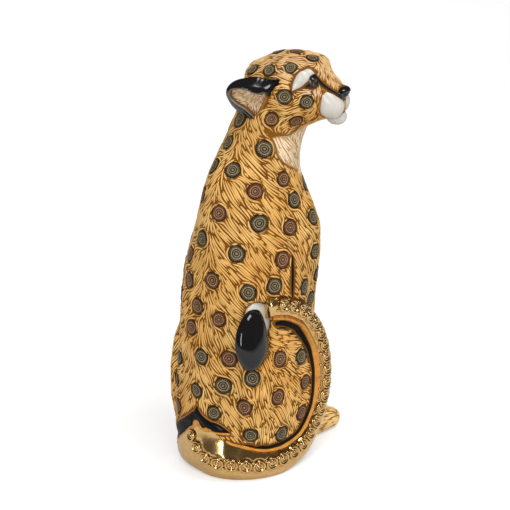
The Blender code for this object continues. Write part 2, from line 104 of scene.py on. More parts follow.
def spline(rows: Sequence[Sequence[float]], count: int, closed: bool = False) -> Array:
    """Catmull-Rom curve through rows of numbers.

    Args:
        rows: the stations, each a row of numbers.
        count: how many even steps to return.
        closed: whether the curve returns to its first row.

    Returns:
        An array of count rows.
    """
    pts = np.asarray(rows, float)
    if closed:
        ends = np.vstack([pts[-1], pts, pts[0], pts[1]])
        spans = len(pts)
    else:
        ends = np.vstack([2 * pts[0] - pts[1], pts, 2 * pts[-1] - pts[-2]])
        spans = len(pts) - 1
    where = np.linspace(0, spans, count)
    index = np.minimum(where.astype(int), spans - 1)
    t = (where - index)[:, None]
    a, b, c, d = (ends[index + k] for k in range(4))
    return 0.5 * (2 * b + (c - a) * t + (2 * a - 5 * b + 4 * c - d) * t ** 2
                  + (3 * b - a - 3 * c + d) * t ** 3)


def unit(vectors: Array) -> Array:
    """Vectors scaled to length one along the last axis."""
    return vectors / np.maximum(np.linalg.norm(vectors, axis=-1, keepdims=True), 1e-9)


def tangent(vectors: Array, normals: Array) -> Array:
    """Unit vectors along the surface nearest to the given ones."""
    return unit(vectors - normals * (vectors * normals).sum(axis=1)[:, None])


def lookup(table: Sequence[Sequence[float]], where: Array | float, column: int = 1) -> Array | float:
    """Value between the rows of a table whose first column rises."""
    rows = np.array(table)
    return np.interp(where, rows[:, 0], rows[:, column])


def head_curve(rows: Sequence[Triple], side: int, count: int = 40) -> Array:
    """A smooth line in the drawing through places on one side of the head."""
    return np.array([at_head(a, r * side, u) for a, r, u in spline(rows, count)])


def spindle(width: float, count: int, start: float = 0.3, power: float = 0.5) -> Array:
    """Widths along a line that is thin at both ends."""
    return width * np.sin(np.linspace(start, math.pi - start, count)) ** power


def ring_angles(count: int) -> Array:
    """Even angles once round, as a column."""
    return np.linspace(0, 2 * math.pi, count, endpoint=False)[:, None]


def sided(name: str, side: int) -> str:
    """Name of a piece on the animal's right, side 1, or on its left, side -1."""
    return f"{name}_right" if side > 0 else f"{name}_left"


# ---- colours
class Slot(Enum):
    """Material slots of the record."""

    OCHRE = "ochre_glaze"
    BLACK = "black_glaze"
    WHITE = "white_glaze"
    GOLD = "gold_lustre"


class Tone(Enum):
    """Glaze colours, in linear light."""

    STRAW = (0.80, 0.505, 0.175)
    OCHRE = (0.64, 0.335, 0.082)
    AMBER = (0.56, 0.235, 0.028)
    AMBER_DEEP = (0.33, 0.12, 0.015)
    GROOVE = (0.165, 0.062, 0.008)
    SOLE = (1.0, 0.69, 0.29)
    CREAM = (0.80, 0.62, 0.42)
    CREAM_SHADE = (0.42, 0.27, 0.13)
    OLIVE_DARK = (0.012, 0.010, 0.007)
    OLIVE_LIGHT = (0.40, 0.31, 0.17)
    UMBER_DARK = (0.036, 0.012, 0.006)
    UMBER_LIGHT = (0.46, 0.26, 0.13)
    BLACK = (0.006, 0.0055, 0.006)
    LIP = (0.20, 0.17, 0.14)
    WHITE = (0.56, 0.53, 0.475)
    GOLD = (0.78, 0.50, 0.20)
    GOLD_DEEP = (0.34, 0.19, 0.06)

    @property
    def rgb(self) -> Array:
        """The colour as an array of three numbers."""
        return np.array(self.value)


def blend_tones(a: Array, b: Array, share: Array) -> Array:
    """Mix two colours, or two rows of colours, by a share for each row."""
    share = np.asarray(share)[..., None]
    return a * (1 - share) + b * share


def cloud(points: Array, size: float, seed: float = 0.0) -> Array:
    """Smooth noise between -1 and 1 at each point, with features of that size."""
    shift = Vector((seed * 17.3, seed * -9.1, seed * 5.7))
    return np.array([noise.noise(Vector(p) / size + shift) for p in points])


# ---- materials
def new_group(name: str, inputs: Sequence[tuple[str, str, object]],
              outputs: Sequence[tuple[str, str]]) -> Tree:
    """An empty shader node group with named sockets.

    Args:
        name: the group's name.
        inputs: name, type and default of each input.
        outputs: name and type of each output.

    Returns:
        The node tree, with its input and output nodes.
    """
    tree = bpy.data.node_groups.new(name, "ShaderNodeTree")
    for label, kind, default in inputs:
        socket = tree.interface.new_socket(label, in_out="INPUT", socket_type=kind)
        socket.default_value = default
    for label, kind in outputs:
        tree.interface.new_socket(label, in_out="OUTPUT", socket_type=kind)
    tree.nodes.new("NodeGroupInput")
    tree.nodes.new("NodeGroupOutput")
    return tree


def set_inputs(node: Node, values: dict[str | int, object]) -> None:
    """Set the defaults of a node's inputs, given by name or by number."""
    for key, value in values.items():
        node.inputs[key].default_value = value


def add_node(tree: Tree, kind: str,
             values: dict[str | int, object] | None = None,
             **settings: object) -> Node:
    """Add a shader node.

    Args:
        tree: the node tree.
        kind: the node's type.
        values: defaults of its inputs.
        settings: its other properties.

    Returns:
        The node.
    """
    node = tree.nodes.new(kind)
    for key, value in settings.items():
        setattr(node, key, value)
    set_inputs(node, values or {})
    return node


def join(tree: Tree, *wires: tuple) -> None:
    """Link nodes, each wire given as a node, its output, the next node and its input."""
    for source, output, target, entry in wires:
        tree.links.new(source.outputs[output], target.inputs[entry])


def mix_by_ray(tree: Tree, ray: str, otherwise: Node,
               shown: Node) -> Node:
    """Show one shader to rays of a kind and another to the rest."""
    path = add_node(tree, "ShaderNodeLightPath")
    mix = add_node(tree, "ShaderNodeMixShader")
    join(tree, (path, ray, mix, "Fac"), (otherwise, 0, mix, 1), (shown, 0, mix, 2))
    return mix


def mottle_group() -> Tree:
    """Group that clouds a glaze colour the way a brushed glaze pools and thins."""
    tree = new_group("glaze_mottle",
                     [("Tone", "NodeSocketColor", (1, 1, 1, 1)),
                      ("Cloud Size", "NodeSocketFloat", 120.0),
                      ("Depth", "NodeSocketFloat", 0.15)],
                     [("Tone", "NodeSocketColor")])
    source, sink = tree.nodes["Group Input"], tree.nodes["Group Output"]
    place = add_node(tree, "ShaderNodeTexCoord")
    patch = add_node(tree, "ShaderNodeTexNoise", {"Detail": 4.0, "Roughness": 0.6})
    spread = add_node(tree, "ShaderNodeMapRange", {"From Min": 0.3, "From Max": 0.7})
    lowest = add_node(tree, "ShaderNodeMath", {0: 1.0}, operation="SUBTRACT")
    highest = add_node(tree, "ShaderNodeMath", {0: 1.0}, operation="ADD")
    scaled = add_node(tree, "ShaderNodeVectorMath", operation="SCALE")
    join(tree,
         (place, "Object", patch, "Vector"),
         (source, "Cloud Size", patch, "Scale"),
         (source, "Depth", lowest, 1),
         (source, "Depth", highest, 1),
         (patch, "Fac", spread, "Value"),
         (lowest, 0, spread, "To Min"),
         (highest, 0, spread, "To Max"),
         (source, "Tone", scaled, 0),
         (spread, "Result", scaled, "Scale"),
         (scaled, "Vector", sink, "Tone"))
    return tree


def kiln_group() -> Tree:
    """Group that gives the fine ripple and pinholes of a fired surface as a height."""
    tree = new_group("kiln_ripple",
                     [("Ripple Size", "NodeSocketFloat", 300.0),
                      ("Grain Size", "NodeSocketFloat", 1500.0)],
                     [("Height", "NodeSocketFloat")])
    source, sink = tree.nodes["Group Input"], tree.nodes["Group Output"]
    place = add_node(tree, "ShaderNodeTexCoord")
    ripple = add_node(tree, "ShaderNodeTexNoise", {"Detail": 2.0})
    grain = add_node(tree, "ShaderNodeTexNoise", {"Detail": 3.0})
    mix = add_node(tree, "ShaderNodeMath", {1: 0.25}, operation="MULTIPLY_ADD")
    join(tree,
         (place, "Object", ripple, "Vector"),
         (place, "Object", grain, "Vector"),
         (source, "Ripple Size", ripple, "Scale"),
         (source, "Grain Size", grain, "Scale"),
         (grain, "Fac", mix, 0),
         (ripple, "Fac", mix, 2),
         (mix, 0, sink, "Height"))
    return tree


MOTTLE = mottle_group()
KILN = kiln_group()
RIPPLE_HEIGHT = 0.4 * MM


@dataclass(frozen=True)
class Finish:
    """One fired finish: its colour, gloss and surface."""

    name: str
    slot: Slot
    tone: Tone | None = None
    roughness: float = 0.4
    metallic: float = 0.0
    specular: float = 0.5
    cloud_size: float = 120.0
    cloud_depth: float = 0.12
    ripple: float = 0.15
    ripple_size: float = 300.0

    def material(self) -> bpy.types.Material:
        """The material, made once for each finish."""
        made = bpy.data.materials.get(self.name)
        if made:
            return made
        mat = bpy.data.materials.new(self.name)
        mat.use_nodes = True
        tree = mat.node_tree
        shader = tree.nodes["Principled BSDF"]
        set_inputs(shader, {"Roughness": self.roughness, "Metallic": self.metallic,
                            "Specular IOR Level": self.specular})
        mottle = add_node(tree, "ShaderNodeGroup", node_tree=MOTTLE)
        set_inputs(mottle, {"Cloud Size": self.cloud_size, "Depth": self.cloud_depth})
        if self.tone is None:
            tint = add_node(tree, "ShaderNodeAttribute", attribute_name="tint")
            join(tree, (tint, "Color", mottle, "Tone"))
        else:
            set_inputs(mottle, {"Tone": (*self.tone.value, 1.0)})
        kiln = add_node(tree, "ShaderNodeGroup", {"Ripple Size": self.ripple_size}, node_tree=KILN)
        bump = add_node(tree, "ShaderNodeBump",
                        {"Strength": self.ripple, "Distance": RIPPLE_HEIGHT})
        join(tree,
             (mottle, "Tone", shader, "Base Color"),
             (kiln, "Height", bump, "Height"),
             (bump, "Normal", shader, "Normal"))
        return mat


HAIR_GLAZE = Finish("engraved_hair_glaze", Slot.OCHRE, specular=0.13, cloud_size=90.0,
                    ripple=0.3)
# The skin's dark groove colour is partly glaze pooled in the engraved lines and partly painted shade
# between the ridges.
SKIN_GLAZE = Finish("groove_glaze_and_painted_shade", Slot.OCHRE, roughness=0.6, specular=0.02,
                    cloud_depth=0.18, ripple=0.4)
RIM_GLAZE = Finish("amber_rim_glaze", Slot.OCHRE, roughness=0.22, cloud_size=220.0,
                   cloud_depth=0.25, ripple=0.2)
SPOT_GLAZE = Finish("ringed_spot_glaze", Slot.BLACK, roughness=0.42, specular=0.06,
                    cloud_size=260.0, cloud_depth=0.25, ripple=0.4)
BLACK_GLOSS = Finish("black_gloss_glaze", Slot.BLACK, Tone.BLACK, roughness=0.05,
                     cloud_depth=0.1, ripple=0.03, ripple_size=60.0)
BLACK_SATIN = Finish("black_satin_glaze", Slot.BLACK, Tone.BLACK, roughness=0.38, specular=0.04,
                     cloud_depth=0.1, ripple=0.1, ripple_size=120.0)
BLACK_BAND = Finish("black_band_glaze", Slot.BLACK, Tone.BLACK, roughness=0.16, specular=0.07,
                    cloud_depth=0.1, ripple=0.1, ripple_size=90.0)
EAR_GLAZE = Finish("ear_glaze", Slot.BLACK, roughness=0.12, cloud_size=300.0, ripple=0.08)
EYE_GLAZE = Finish("eye_glaze", Slot.BLACK, roughness=0.13, cloud_size=700.0, cloud_depth=0.5,
                   ripple=0.25, ripple_size=500.0)
EYE_SURROUND = Finish("eye_surround_glaze", Slot.BLACK, Tone.BLACK, roughness=0.18,
                      cloud_size=500.0, ripple=0.35, ripple_size=420.0)
WHITE_GLOSS = Finish("white_gloss_glaze", Slot.WHITE, Tone.WHITE, roughness=0.20,
                     cloud_size=150.0, cloud_depth=0.05, ripple=0.05)
GOLD_LUSTRE = Finish("gold_mirror_lustre", Slot.GOLD, roughness=0.15, metallic=1.0,
                     cloud_size=180.0, ripple=0.10, ripple_size=220.0)


# ---- meshes
def select_only(obj: Piece) -> None:
    """Make obj the one selected and active object."""
    bpy.ops.object.select_all(action="DESELECT")
    obj.select_set(True)
    bpy.context.view_layer.objects.active = obj


def linked(name: str, data: bpy.types.ID) -> Piece:
    """A new object for that mesh, light or camera, in the scene."""
    obj = bpy.data.objects.new(name, data)
    bpy.context.collection.objects.link(obj)
    return obj


def aim(obj: Piece, place: Vector, target: Vector) -> None:
    """Stand a light or camera at a place and turn it to a target."""
    obj.location = place
    obj.rotation_euler = (target - place).to_track_quat("-Z", "Y").to_euler()


def edit_all(obj: Piece, *steps: Callable[[], object]) -> None:
    """Run mesh operators on every face of obj."""
    select_only(obj)
    bpy.ops.object.mode_set(mode="EDIT")
    bpy.ops.mesh.select_all(action="SELECT")
    for step in steps:
        step()
    bpy.ops.object.mode_set(mode="OBJECT")


def run_modifier(obj: Piece, kind: str, **settings: object) -> None:
    """Add a modifier with those settings and apply it."""
    select_only(obj)
    mod = obj.modifiers.new(kind.lower(), kind)
    for key, value in settings.items():
        setattr(mod, key, value)
    bpy.ops.object.modifier_apply(modifier=mod.name)


def coordinates(mesh: bpy.types.Mesh) -> Array:
    """Vertex positions as rows, in metres."""
    flat = np.empty(len(mesh.vertices) * 3)
    mesh.vertices.foreach_get("co", flat)
    return flat.reshape(-1, 3)


def move_vertices(mesh: bpy.types.Mesh, points: Array) -> None:
    """Put the vertices at those positions, in metres."""
    mesh.vertices.foreach_set("co", np.ascontiguousarray(points).reshape(-1))
    mesh.update()


def face_table(mesh: bpy.types.Mesh) -> tuple[Array, Array]:
    """Middles of the faces in millimetres, and their normals."""
    middles = np.array([p.center[:] for p in mesh.polygons]) / MM
    return middles, np.array([p.normal[:] for p in mesh.polygons])


def vertex_normals(mesh: bpy.types.Mesh) -> Array:
    """Vertex normals as rows."""
    flat = np.empty(len(mesh.vertices) * 3, np.float32)
    mesh.vertex_normals.foreach_get("vector", flat)
    return flat.reshape(-1, 3).astype(float)


def smooth_shaded(obj: Piece) -> Piece:
    """obj, with every face shaded smooth."""
    obj.data.polygons.foreach_set("use_smooth", [True] * len(obj.data.polygons))
    return obj


def band_faces(start: int, rings: int, count: int) -> list[tuple[int, ...]]:
    """Faces between rings of count vertices, numbered on from start."""
    return [(a + j, a + (j + 1) % count, a + (j + 1) % count + count, a + j + count)
            for a in range(start, start + (rings - 1) * count, count) for j in range(count)]


def turned_faces(start: int, rings: int, count: int) -> list[tuple[int, ...]]:
    """Faces of a turned form with a flat foot and an apex.

    Args:
        start: number of its first vertex.
        rings: how many rings lie below the apex.
        count: vertices in a ring.

    Returns:
        Vertex numbers of each face.
    """
    top, apex = start + (rings - 1) * count, start + rings * count
    fan = [(top + j, top + (j + 1) % count, apex) for j in range(count)]
    return band_faces(start, rings, count) + fan + [tuple(reversed(range(start, start + count)))]


def joined_mesh(name: str, points: Array, faces: Sequence[Sequence[int]]) -> Piece:
    """An object for many small things made as one mesh.

    Args:
        name: the object's name.
        points: vertex positions in shared-frame millimetres.
        faces: vertex numbers of each face, seen from outside.

    Returns:
        The new object, linked to the scene.
    """
    mesh = bpy.data.meshes.new(name)
    mesh.from_pydata((points * MM).tolist(), [], faces)
    return smooth_shaded(linked(name, mesh))


def draped_grid(name: str, points: Array) -> Piece:
    """A grid primitive laid over rows and columns of places and sewn up.

    Args:
        name: the object's name.
        points: places in shared-frame millimetres, rows by columns.

    Returns:
        The closed, smooth-shaded object.
    """
    shape = np.array(points.shape[1::-1])
    bpy.ops.mesh.primitive_grid_add(x_subdivisions=int(shape[0]) - 1,
                                    y_subdivisions=int(shape[1]) - 1, size=2.0)
    obj = bpy.context.object
    obj.name = name
    column, row = np.rint((coordinates(obj.data)[:, :2] + 1) / 2 * (shape - 1)).astype(int).T
    move_vertices(obj.data, points[row, column] * MM)
    edit_all(obj, lambda: bpy.ops.mesh.remove_doubles(threshold=2e-6),
             lambda: bpy.ops.mesh.normals_make_consistent(inside=False))
    return smooth_shaded(obj)


def shaped_ball(name: str, centre: Triple, radii: Triple, shape: Callable[[Array], Array],
                segments: int = 40, rings: int = 24) -> Piece:
    """A sphere primitive scaled and worked in the head's axes.

    Args:
        name: the object's name.
        centre: middle of the ball in the head's along, right and up.
        radii: half sizes in the same three directions.
        shape: moves the unit ball's points before they are scaled.
        segments: faces round the ball.
        rings: faces from pole to pole.

    Returns:
        The ball as a smooth-shaded object.
    """
    bpy.ops.mesh.primitive_uv_sphere_add(segments=segments, ring_count=rings, radius=1.0)
    obj = bpy.context.object
    obj.name = name
    local = np.array(centre) + shape(coordinates(obj.data)) * np.array(radii)
    places = HEAD_ORIGIN + ORIGIN + local @ np.array((AHEAD, RIGHT, UP))
    move_vertices(obj.data, places * MM)
    return smooth_shaded(obj)


def pebble(name: str, outline: Array, place: Callable[[Array, Array, Array], Array],
           front: float, back: float, power: float, rings: int,
           crown: Pair | None = None) -> Piece:
    """A closed, domed form with a given outline.

    Args:
        name: the object's name.
        outline: closed outline in two coordinates, first point repeated at the end.
        place: turns both coordinates and the height over the outline into drawing positions.
        front: height of the front dome.
        back: depth of the back.
        power: fullness of the dome.
        rings: steps from the front's middle to the back's.
        crown: where the dome is highest, or None for the outline's middle.

    Returns:
        The form as a smooth-shaded object.
    """
    centre = outline[:-1].mean(axis=0) if crown is None else np.array(crown)
    turn = np.linspace(0.0, math.pi, rings)
    reach = np.sin(turn) ** (2 / power)
    height = np.sign(np.cos(turn)) * np.abs(np.cos(turn)) ** (2 / power)
    height = np.where(height > 0, height * front, height * back)
    flat = centre + (outline - centre)[None] * reach[:, None, None]
    lift = np.repeat(height[:, None], len(outline), axis=1)
    return draped_grid(name, place(flat[:, :, 0], flat[:, :, 1], lift) + ORIGIN)


def paint(obj: Piece, tones: Array) -> None:
    """Store one colour for all vertices, or a row for each, in the attribute named tint."""
    layer = obj.data.color_attributes.new("tint", "FLOAT_COLOR", "POINT")
    rgba = np.ones((len(obj.data.vertices), 4))
    rgba[:, :3] = tones
    layer.data.foreach_set("color", rgba.reshape(-1))


def dress(obj: Piece, finish: Finish, *nodes: str) -> Piece:
    """Give a finished piece its material and body, and hide the solids it stands for.

    Args:
        obj: the piece.
        finish: the finish it wears.
        nodes: the solids it stands for.

    Returns:
        The same piece.
    """
    obj.data.materials.clear()
    obj.data.materials.append(finish.material())
    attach(obj, "root")
    if nodes:
        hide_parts(*nodes)
    LOG.info("%s: %d faces", obj.name, len(obj.data.polygons))
    return obj


class Surface:
    """Finished meshes that further pieces are laid on."""

    def __init__(self, *objects: Piece) -> None:
        """Read the meshes once into a search tree, in millimetres."""
        points, faces, normals, start = [], [], [], 0
        for obj in objects:
            mesh = obj.data
            places = coordinates(mesh) / MM
            points.append(places)
            normals.append(vertex_normals(mesh))
            faces += [[v + start for v in p.vertices] for p in mesh.polygons]
            start += len(places)
        self.points = np.vstack(points)
        self.normals = np.vstack(normals)
        self.faces = faces
        self.tree = BVHTree.FromPolygons(self.points.tolist(), faces)

    def drop(self, places: Array) -> tuple[Array, Array, Array]:
        """Nearest surface point of each place.

        Args:
            places: positions in shared-frame millimetres.

        Returns:
            Points on the surface, smoothed normals there, and face numbers.
        """
        spots, normals, index = [], [], []
        for place in places:
            spot, _, face, _ = self.tree.find_nearest(Vector(place))
            ring = self.faces[face]
            weight = 1.0 / (np.linalg.norm(self.points[ring] - np.array(spot), axis=1) + 0.15)
            spots.append(spot[:])
            normals.append(weight @ self.normals[ring])
            index.append(face)
        return np.array(spots), unit(np.array(normals)), np.array(index)

    def settle(self, places: Array, guides: Array, reach: float = 9.0) -> Array:
        """Outermost surface point under each place.

        Args:
            places: positions in shared-frame millimetres.
            guides: outward direction at each.
            reach: how far outside the search starts.

        Returns:
            Points on the outermost surface, or the places where nothing is met.
        """
        out = []
        for place, guide in zip(places, guides):
            start = Vector(place + guide * reach)
            spot = self.tree.ray_cast(start, Vector(-guide), 2 * reach)[0]
            out.append(place if spot is None else spot[:])
        return np.array(out)

    def clearance(self, places: Array, normals: Array, reach: float = 22.0) -> Array:
        """Distance of each place from the surface, negative where it is covered.

        Args:
            places: positions in shared-frame millimetres.
            normals: outward direction at each.
            reach: how far to look for a cover.

        Returns:
            One signed distance each.
        """
        out = []
        for place, normal in zip(places, normals):
            start, ahead = Vector(place), Vector(normal)
            gap = self.tree.find_nearest(start)[3]
            met, facing, _, _ = self.tree.ray_cast(start, ahead, reach)
            covered = met is not None and facing.dot(ahead) > 0
            out.append(-gap if covered else gap)
        return np.array(out)


# ---- skin
@dataclass
class Skin:
    """The figure's one unbroken skin, a coat's depth inside the solids."""

    nodes: tuple[str, ...] = (
        "head", "neck", "trunk", "foreleg_left", "foreleg_right", "forepaw_left", "forepaw_right",
        "hindpaw_left", "thigh_left", "thigh_right")
    fillers: tuple[str, ...] = (
        "nose", "muzzle_left", "muzzle_right", "chin", "eye_left", "eye_right", "brow_patch_left",
        "brow_patch_right", "tail_base", "tail_side", "tail_arch", "tail_root_band")
    voxel: float = 1.20
    grow: float = 0.35
    depth: float = 0.27
    # soft forms of the face, both sides alike: place at the head, reach, push along the normal
    face_forms: tuple[tuple[Triple, Triple, float], ...] = (
        ((13.5, 15.5, 11), (5, 6, 4.5), -1.6), ((3, 21, -6), (10, 8, 9), 0.5),
        ((17, 8.5, 23), (6.5, 7.5, 7), 2.8), ((31.5, 4.5, 4), (6.5, 7, 5.5), -1.7),
        ((-25.5, 9, 24), (9, 9, 7), -1.7), ((-32, 11, 12), (9, 11, 7.5), 2.4),
        ((18, 12, -1.5), (4, 6, 7), -0.9))
    # soft form beside the tail's root: place in the drawing, reach, push
    root_form: tuple[Triple, Triple, float] = ((26, 46.5, 72), (9, 9, 40), 2.2)
    obj: Piece | None = field(default=None, repr=False)

    def build(self) -> None:
        """Join, remesh, smooth and mould the flesh solids."""
        copies = [linked(name + "_flesh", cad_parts[name].data.copy())
                  for name in (*self.nodes, *self.fillers)]
        select_only(copies[0])
        for copy in copies:
            copy.select_set(True)
        bpy.ops.object.join()
        obj = bpy.context.object
        obj.name = obj.data.name = "skin"
        obj.data.materials.clear()
        edit_all(obj, lambda: bpy.ops.mesh.remove_doubles(threshold=1e-6))
        run_modifier(obj, "DISPLACE", strength=self.grow * MM, mid_level=0.0)
        run_modifier(obj, "REMESH", mode="VOXEL", voxel_size=self.voxel * MM)
        run_modifier(obj, "SMOOTH", factor=0.5, iterations=10)
        run_modifier(obj, "DISPLACE", strength=-(self.grow + self.depth) * MM, mid_level=0.0)
        self.obj = smooth_shaded(obj)
        self._mould()

    def _mould(self) -> None:
        """Work the soft forms into the skin and keep its foot on the floor plane."""
        points = coordinates(self.obj.data) / MM - ORIGIN
        normals = vertex_normals(self.obj.data)
        forms = [(at_head(a, r * side, u), reach, push) for side in (1, -1)
                 for (a, r, u), reach, push in self.face_forms]
        for place, reach, push in (*forms, self.root_form):
            offset = points - place
            local = np.stack([offset @ AHEAD, offset @ RIGHT, offset @ UP], axis=1)
            share = np.exp(-((local / np.array(reach)) ** 2).sum(axis=1))
            points = points + normals * (share * push)[:, None]
        points = (points + ORIGIN) * MM
        points[:, 2] = np.maximum(points[:, 2], 0.0)
        move_vertices(self.obj.data, points)

    def unwrap(self) -> Array:
        """Unwrap the skin by its own shape.

        Returns:
            The middle of each face on the unwrap, as rows of u and v.
        """
        edit_all(self.obj, lambda: bpy.ops.uv.smart_project(angle_limit=math.radians(70),
                                                            island_margin=0.004))
        mesh = self.obj.data
        flat = np.empty(len(mesh.loops) * 2)
        mesh.uv_layers.active.data.foreach_get("uv", flat)
        uv = flat.reshape(-1, 2)
        return np.array([uv[list(p.loop_indices)].mean(axis=0) for p in mesh.polygons])


# ---- inlays
@dataclass
class Inlay:
    """A raised strip of glaze between two edges lying on a surface."""

    name: str
    edge_a: Array
    edge_b: Array
    rise: float = 0.6
    sink: float = 0.7
    crown: float = 2.5
    across: int = 8
    end: float = 0.07
    bury: float = 0.15
    search: float = 16.0

    def build(self, surface: Surface, over: Surface | None = None,
              guides: Array | None = None) -> Piece:
        """Lay the strip on a surface as a closed solid.

        Args:
            surface: what it lies on.
            over: further meshes that it passes over.
            guides: outward directions, where it is lowered from outside.

        Returns:
            The strip object.
        """
        share = np.linspace(0.0, 1.0, self.across + 1)[:, None]
        flat = self.edge_a[:, None] * (1 - share) + self.edge_b[:, None] * share
        rows, columns = flat.shape[:2]
        flat = flat.reshape(-1, 3) + ORIGIN
        if guides is not None:
            guides = np.repeat(guides, columns, axis=0)
            spots, normals, _ = over.drop(over.settle(flat, guides, self.search))
        else:
            spots, normals, _ = surface.drop(flat)
            if over is not None:
                spots = over.settle(spots, normals)
        spots, normals = spots.reshape(rows, columns, 3), normals.reshape(rows, columns, 3)
        for _ in range(4 if over is not None else 1):
            spots[1:-1] = (spots[:-2] + 2 * spots[1:-1] + spots[2:]) / 4
            normals[1:-1] = (normals[:-2] + 2 * normals[1:-1] + normals[2:]) / 4
        profile = 1.0 - np.abs(2 * share[:, 0] - 1) ** self.crown
        place = np.linspace(0.0, 1.0, rows)
        ends = np.sqrt(np.clip(np.minimum(place, 1 - place) / (self.end + 1e-6), 0.0, 1.0))
        lift = profile[None, :] * ends[:, None] * (self.rise + self.bury) - self.bury
        top = spots + normals * lift[:, :, None]
        bottom = spots - normals * self.sink
        bottom[:, 0], bottom[:, -1] = top[:, 0], top[:, -1]
        loop = np.concatenate([top, bottom[:, -2::-1]], axis=1)
        first = np.repeat(loop[:1].mean(axis=1, keepdims=True), loop.shape[1], axis=1)
        last = np.repeat(loop[-1:].mean(axis=1, keepdims=True), loop.shape[1], axis=1)
        return draped_grid(self.name, np.concatenate([first, loop, last]))


def ribbon(name: str, path: Array, widths: Array, surface: Surface, **settings: float) -> Inlay:
    """An inlay of given widths about a middle line.

    Args:
        name: the inlay's name.
        path: the middle line in the drawing.
        widths: full width at each of its points.
        surface: what it will lie on, for the direction across.
        settings: further fields of the inlay.

    Returns:
        The inlay, ready to build.
    """
    _, normals, _ = surface.drop(path + ORIGIN)
    ahead = unit(np.gradient(path, axis=0))
    side = unit(np.cross(normals, ahead))
    half = (np.asarray(widths) / 2)[:, None]
    return Inlay(name, path - side * half, path + side * half, **settings)


# ---- tail
@dataclass
class Tail:
    """The gilt tail round the right haunch, its bosses, tip and bands."""

    # centre, half height across the length, half thickness out from the body
    stations: tuple[tuple[Triple, float, float], ...] = (
        ((33, 35, 5), 3, 3), ((27, 41, 9), 9, 5.5), ((14, 47.5, 17), 17.5, 7), ((0, 50.5, 22), 23, 7.5),
        ((-14, 47.5, 19), 20.5, 8), ((-26, 38.5, 16), 18, 8.5), ((-34.5, 25, 12.5), 14.5, 8.5),
        ((-38.5, 9, 12), 13.5, 8.5), ((-39.5, -9, 17.5), 12.5, 8.5), ((-39.5, -22, 31), 11, 8.5),
        ((-39.5, -29.5, 48), 10, 8.5), ((-40, -31, 66), 9.3, 8.5), ((-40, -28, 85), 9, 8.5),
        ((-40, -20, 102), 9, 8.5), ((-40, -8, 116), 8.8, 8.2), ((-39.5, 6, 125.5), 8.4, 7.8),
        ((-38, 17, 129.5), 8, 7.2), ((-37, 24, 130), 7.6, 6.6))
    # share of the half height kept on the inner side, by station
    inner: tuple[Pair, ...] = (
        (0, 1), (3.2, 1), (4.5, 0.66), (7, 0.66), (8, 0.72), (9, 0.86), (10, 0.97), (11, 1), (12, 0.97),
        (13, 0.82), (14, 0.66), (15, 0.74), (16, 0.9), (17, 1))
    steps: int = 520
    round_count: int = 96
    fullness: float = 2.3
    lean: float = 0.16
    # how far the inner side is let down, by station
    shelf: tuple[Pair, ...] = (
        (0, 0), (1.5, 0), (2.1, 0.85), (2.6, 1.15), (3.2, 1.15), (3.85, 0.92), (4.35, 0.62),
        (4.62, 0.98), (4.9, 0.62), (6, 0), (17, 0))
    # place along the tail, place across it, size of each line of bosses
    boss_line: Places = (
        (2.76, -0.41, 4.6), (3.2, 0.03, 4.8), (3.8, 0.18, 5), (4.4, 0.1, 5), (5.7, 0.03, 4.9),
        (6.4, -0.14, 4.9), (7.2, -0.25, 4.9), (7.9, -0.3, 4.8), (8.5, -0.42, 4.8), (9.3, -0.5, 4.9),
        (11.1, -0.5, 5), (11.8, -0.42, 5), (12.7, -0.18, 5), (13.5, 0.07, 4.9), (14.4, 0.26, 4.8),
        (15.1, 0.36, 4.8), (16.2, 0.36, 4.6))
    # radius share and height of each ring
    boss: tuple[Pair, ...] = (
        (1.02, -0.6), (1.01, 0), (0.98, 0.62), (0.91, 0.95), (0.8, 1), (0.72, 0.8), (0.66, 0.28),
        (0.61, 0.2), (0.56, 0.6), (0.48, 0.86), (0.39, 0.8), (0.33, 0.35), (0.27, 0.3), (0.22, 0.72),
        (0.12, 0.98), (0, 1.04))
    bead: tuple[Pair, ...] = ((1.05, -0.4), (1, 0.1), (0.82, 0.6), (0.45, 0.92), (0, 1))
    boss_rise: float = 1.25
    boss_gap: float = 0.2
    boss_sides: int = 22
    bead_size: float = 1.35
    bead_offset: float = 0.82
    # outlines seen from the right side: toward the back, up
    drop: tuple[Pair, ...] = (
        (53, 109.5), (51.9, 114.5), (49.6, 119.5), (46.6, 123.4), (42.8, 126.8), (38, 129.2), (33, 130),
        (29, 128.8), (26.8, 124.8), (25.6, 119), (25, 113.2), (25.4, 107.8), (27.2, 103), (30.2, 98.9),
        (34.4, 95), (39.3, 92), (43.8, 90.8), (47.4, 92.2), (50.2, 96.4), (52.2, 101.6), (53, 105.6))
    hood: tuple[Pair, ...] = (
        (37.4, 127), (36.4, 130.8), (34.2, 133), (31, 134.2), (26.6, 133.8), (21, 132.8), (16.4, 130.8),
        (14.6, 127.4), (14.4, 122.5), (15.2, 117.5), (17.2, 113), (19.8, 110), (23.4, 110.6), (28, 114),
        (38, 120))
    tip_plane: float = -36.6
    tip_lean: float = 0.16

    def __post_init__(self) -> None:
        """Work out the section frames along the tail."""
        rows = spline([(*c, a, b) for c, a, b in self.stations], self.steps)
        self.centres, self.heights, self.thicks = rows[:, :3], rows[:, 3], rows[:, 4]
        self.ahead = unit(np.gradient(self.centres, axis=0))
        x, y, z = self.centres.T
        lean = np.where(z < 40, self.lean * np.clip((y - 15.0) / 20.0, 0, 1), 0.0)
        out = np.stack([x, y / 1.9, np.zeros_like(x)], axis=1)
        out[:, 2] = -lean * np.linalg.norm(out, axis=1)
        out -= self.ahead * (out * self.ahead).sum(axis=1)[:, None]
        self.out = unit(out)
        self.across = np.cross(self.ahead, self.out)
        self.station = np.linspace(0, len(self.stations) - 1, self.steps)
        slope = np.pad(lookup(self.shelf, self.station), 7, mode="edge")
        self.slope = np.convolve(slope, np.full(15, 1 / 15), mode="valid")
        self.waist = lookup(self.inner, self.station)

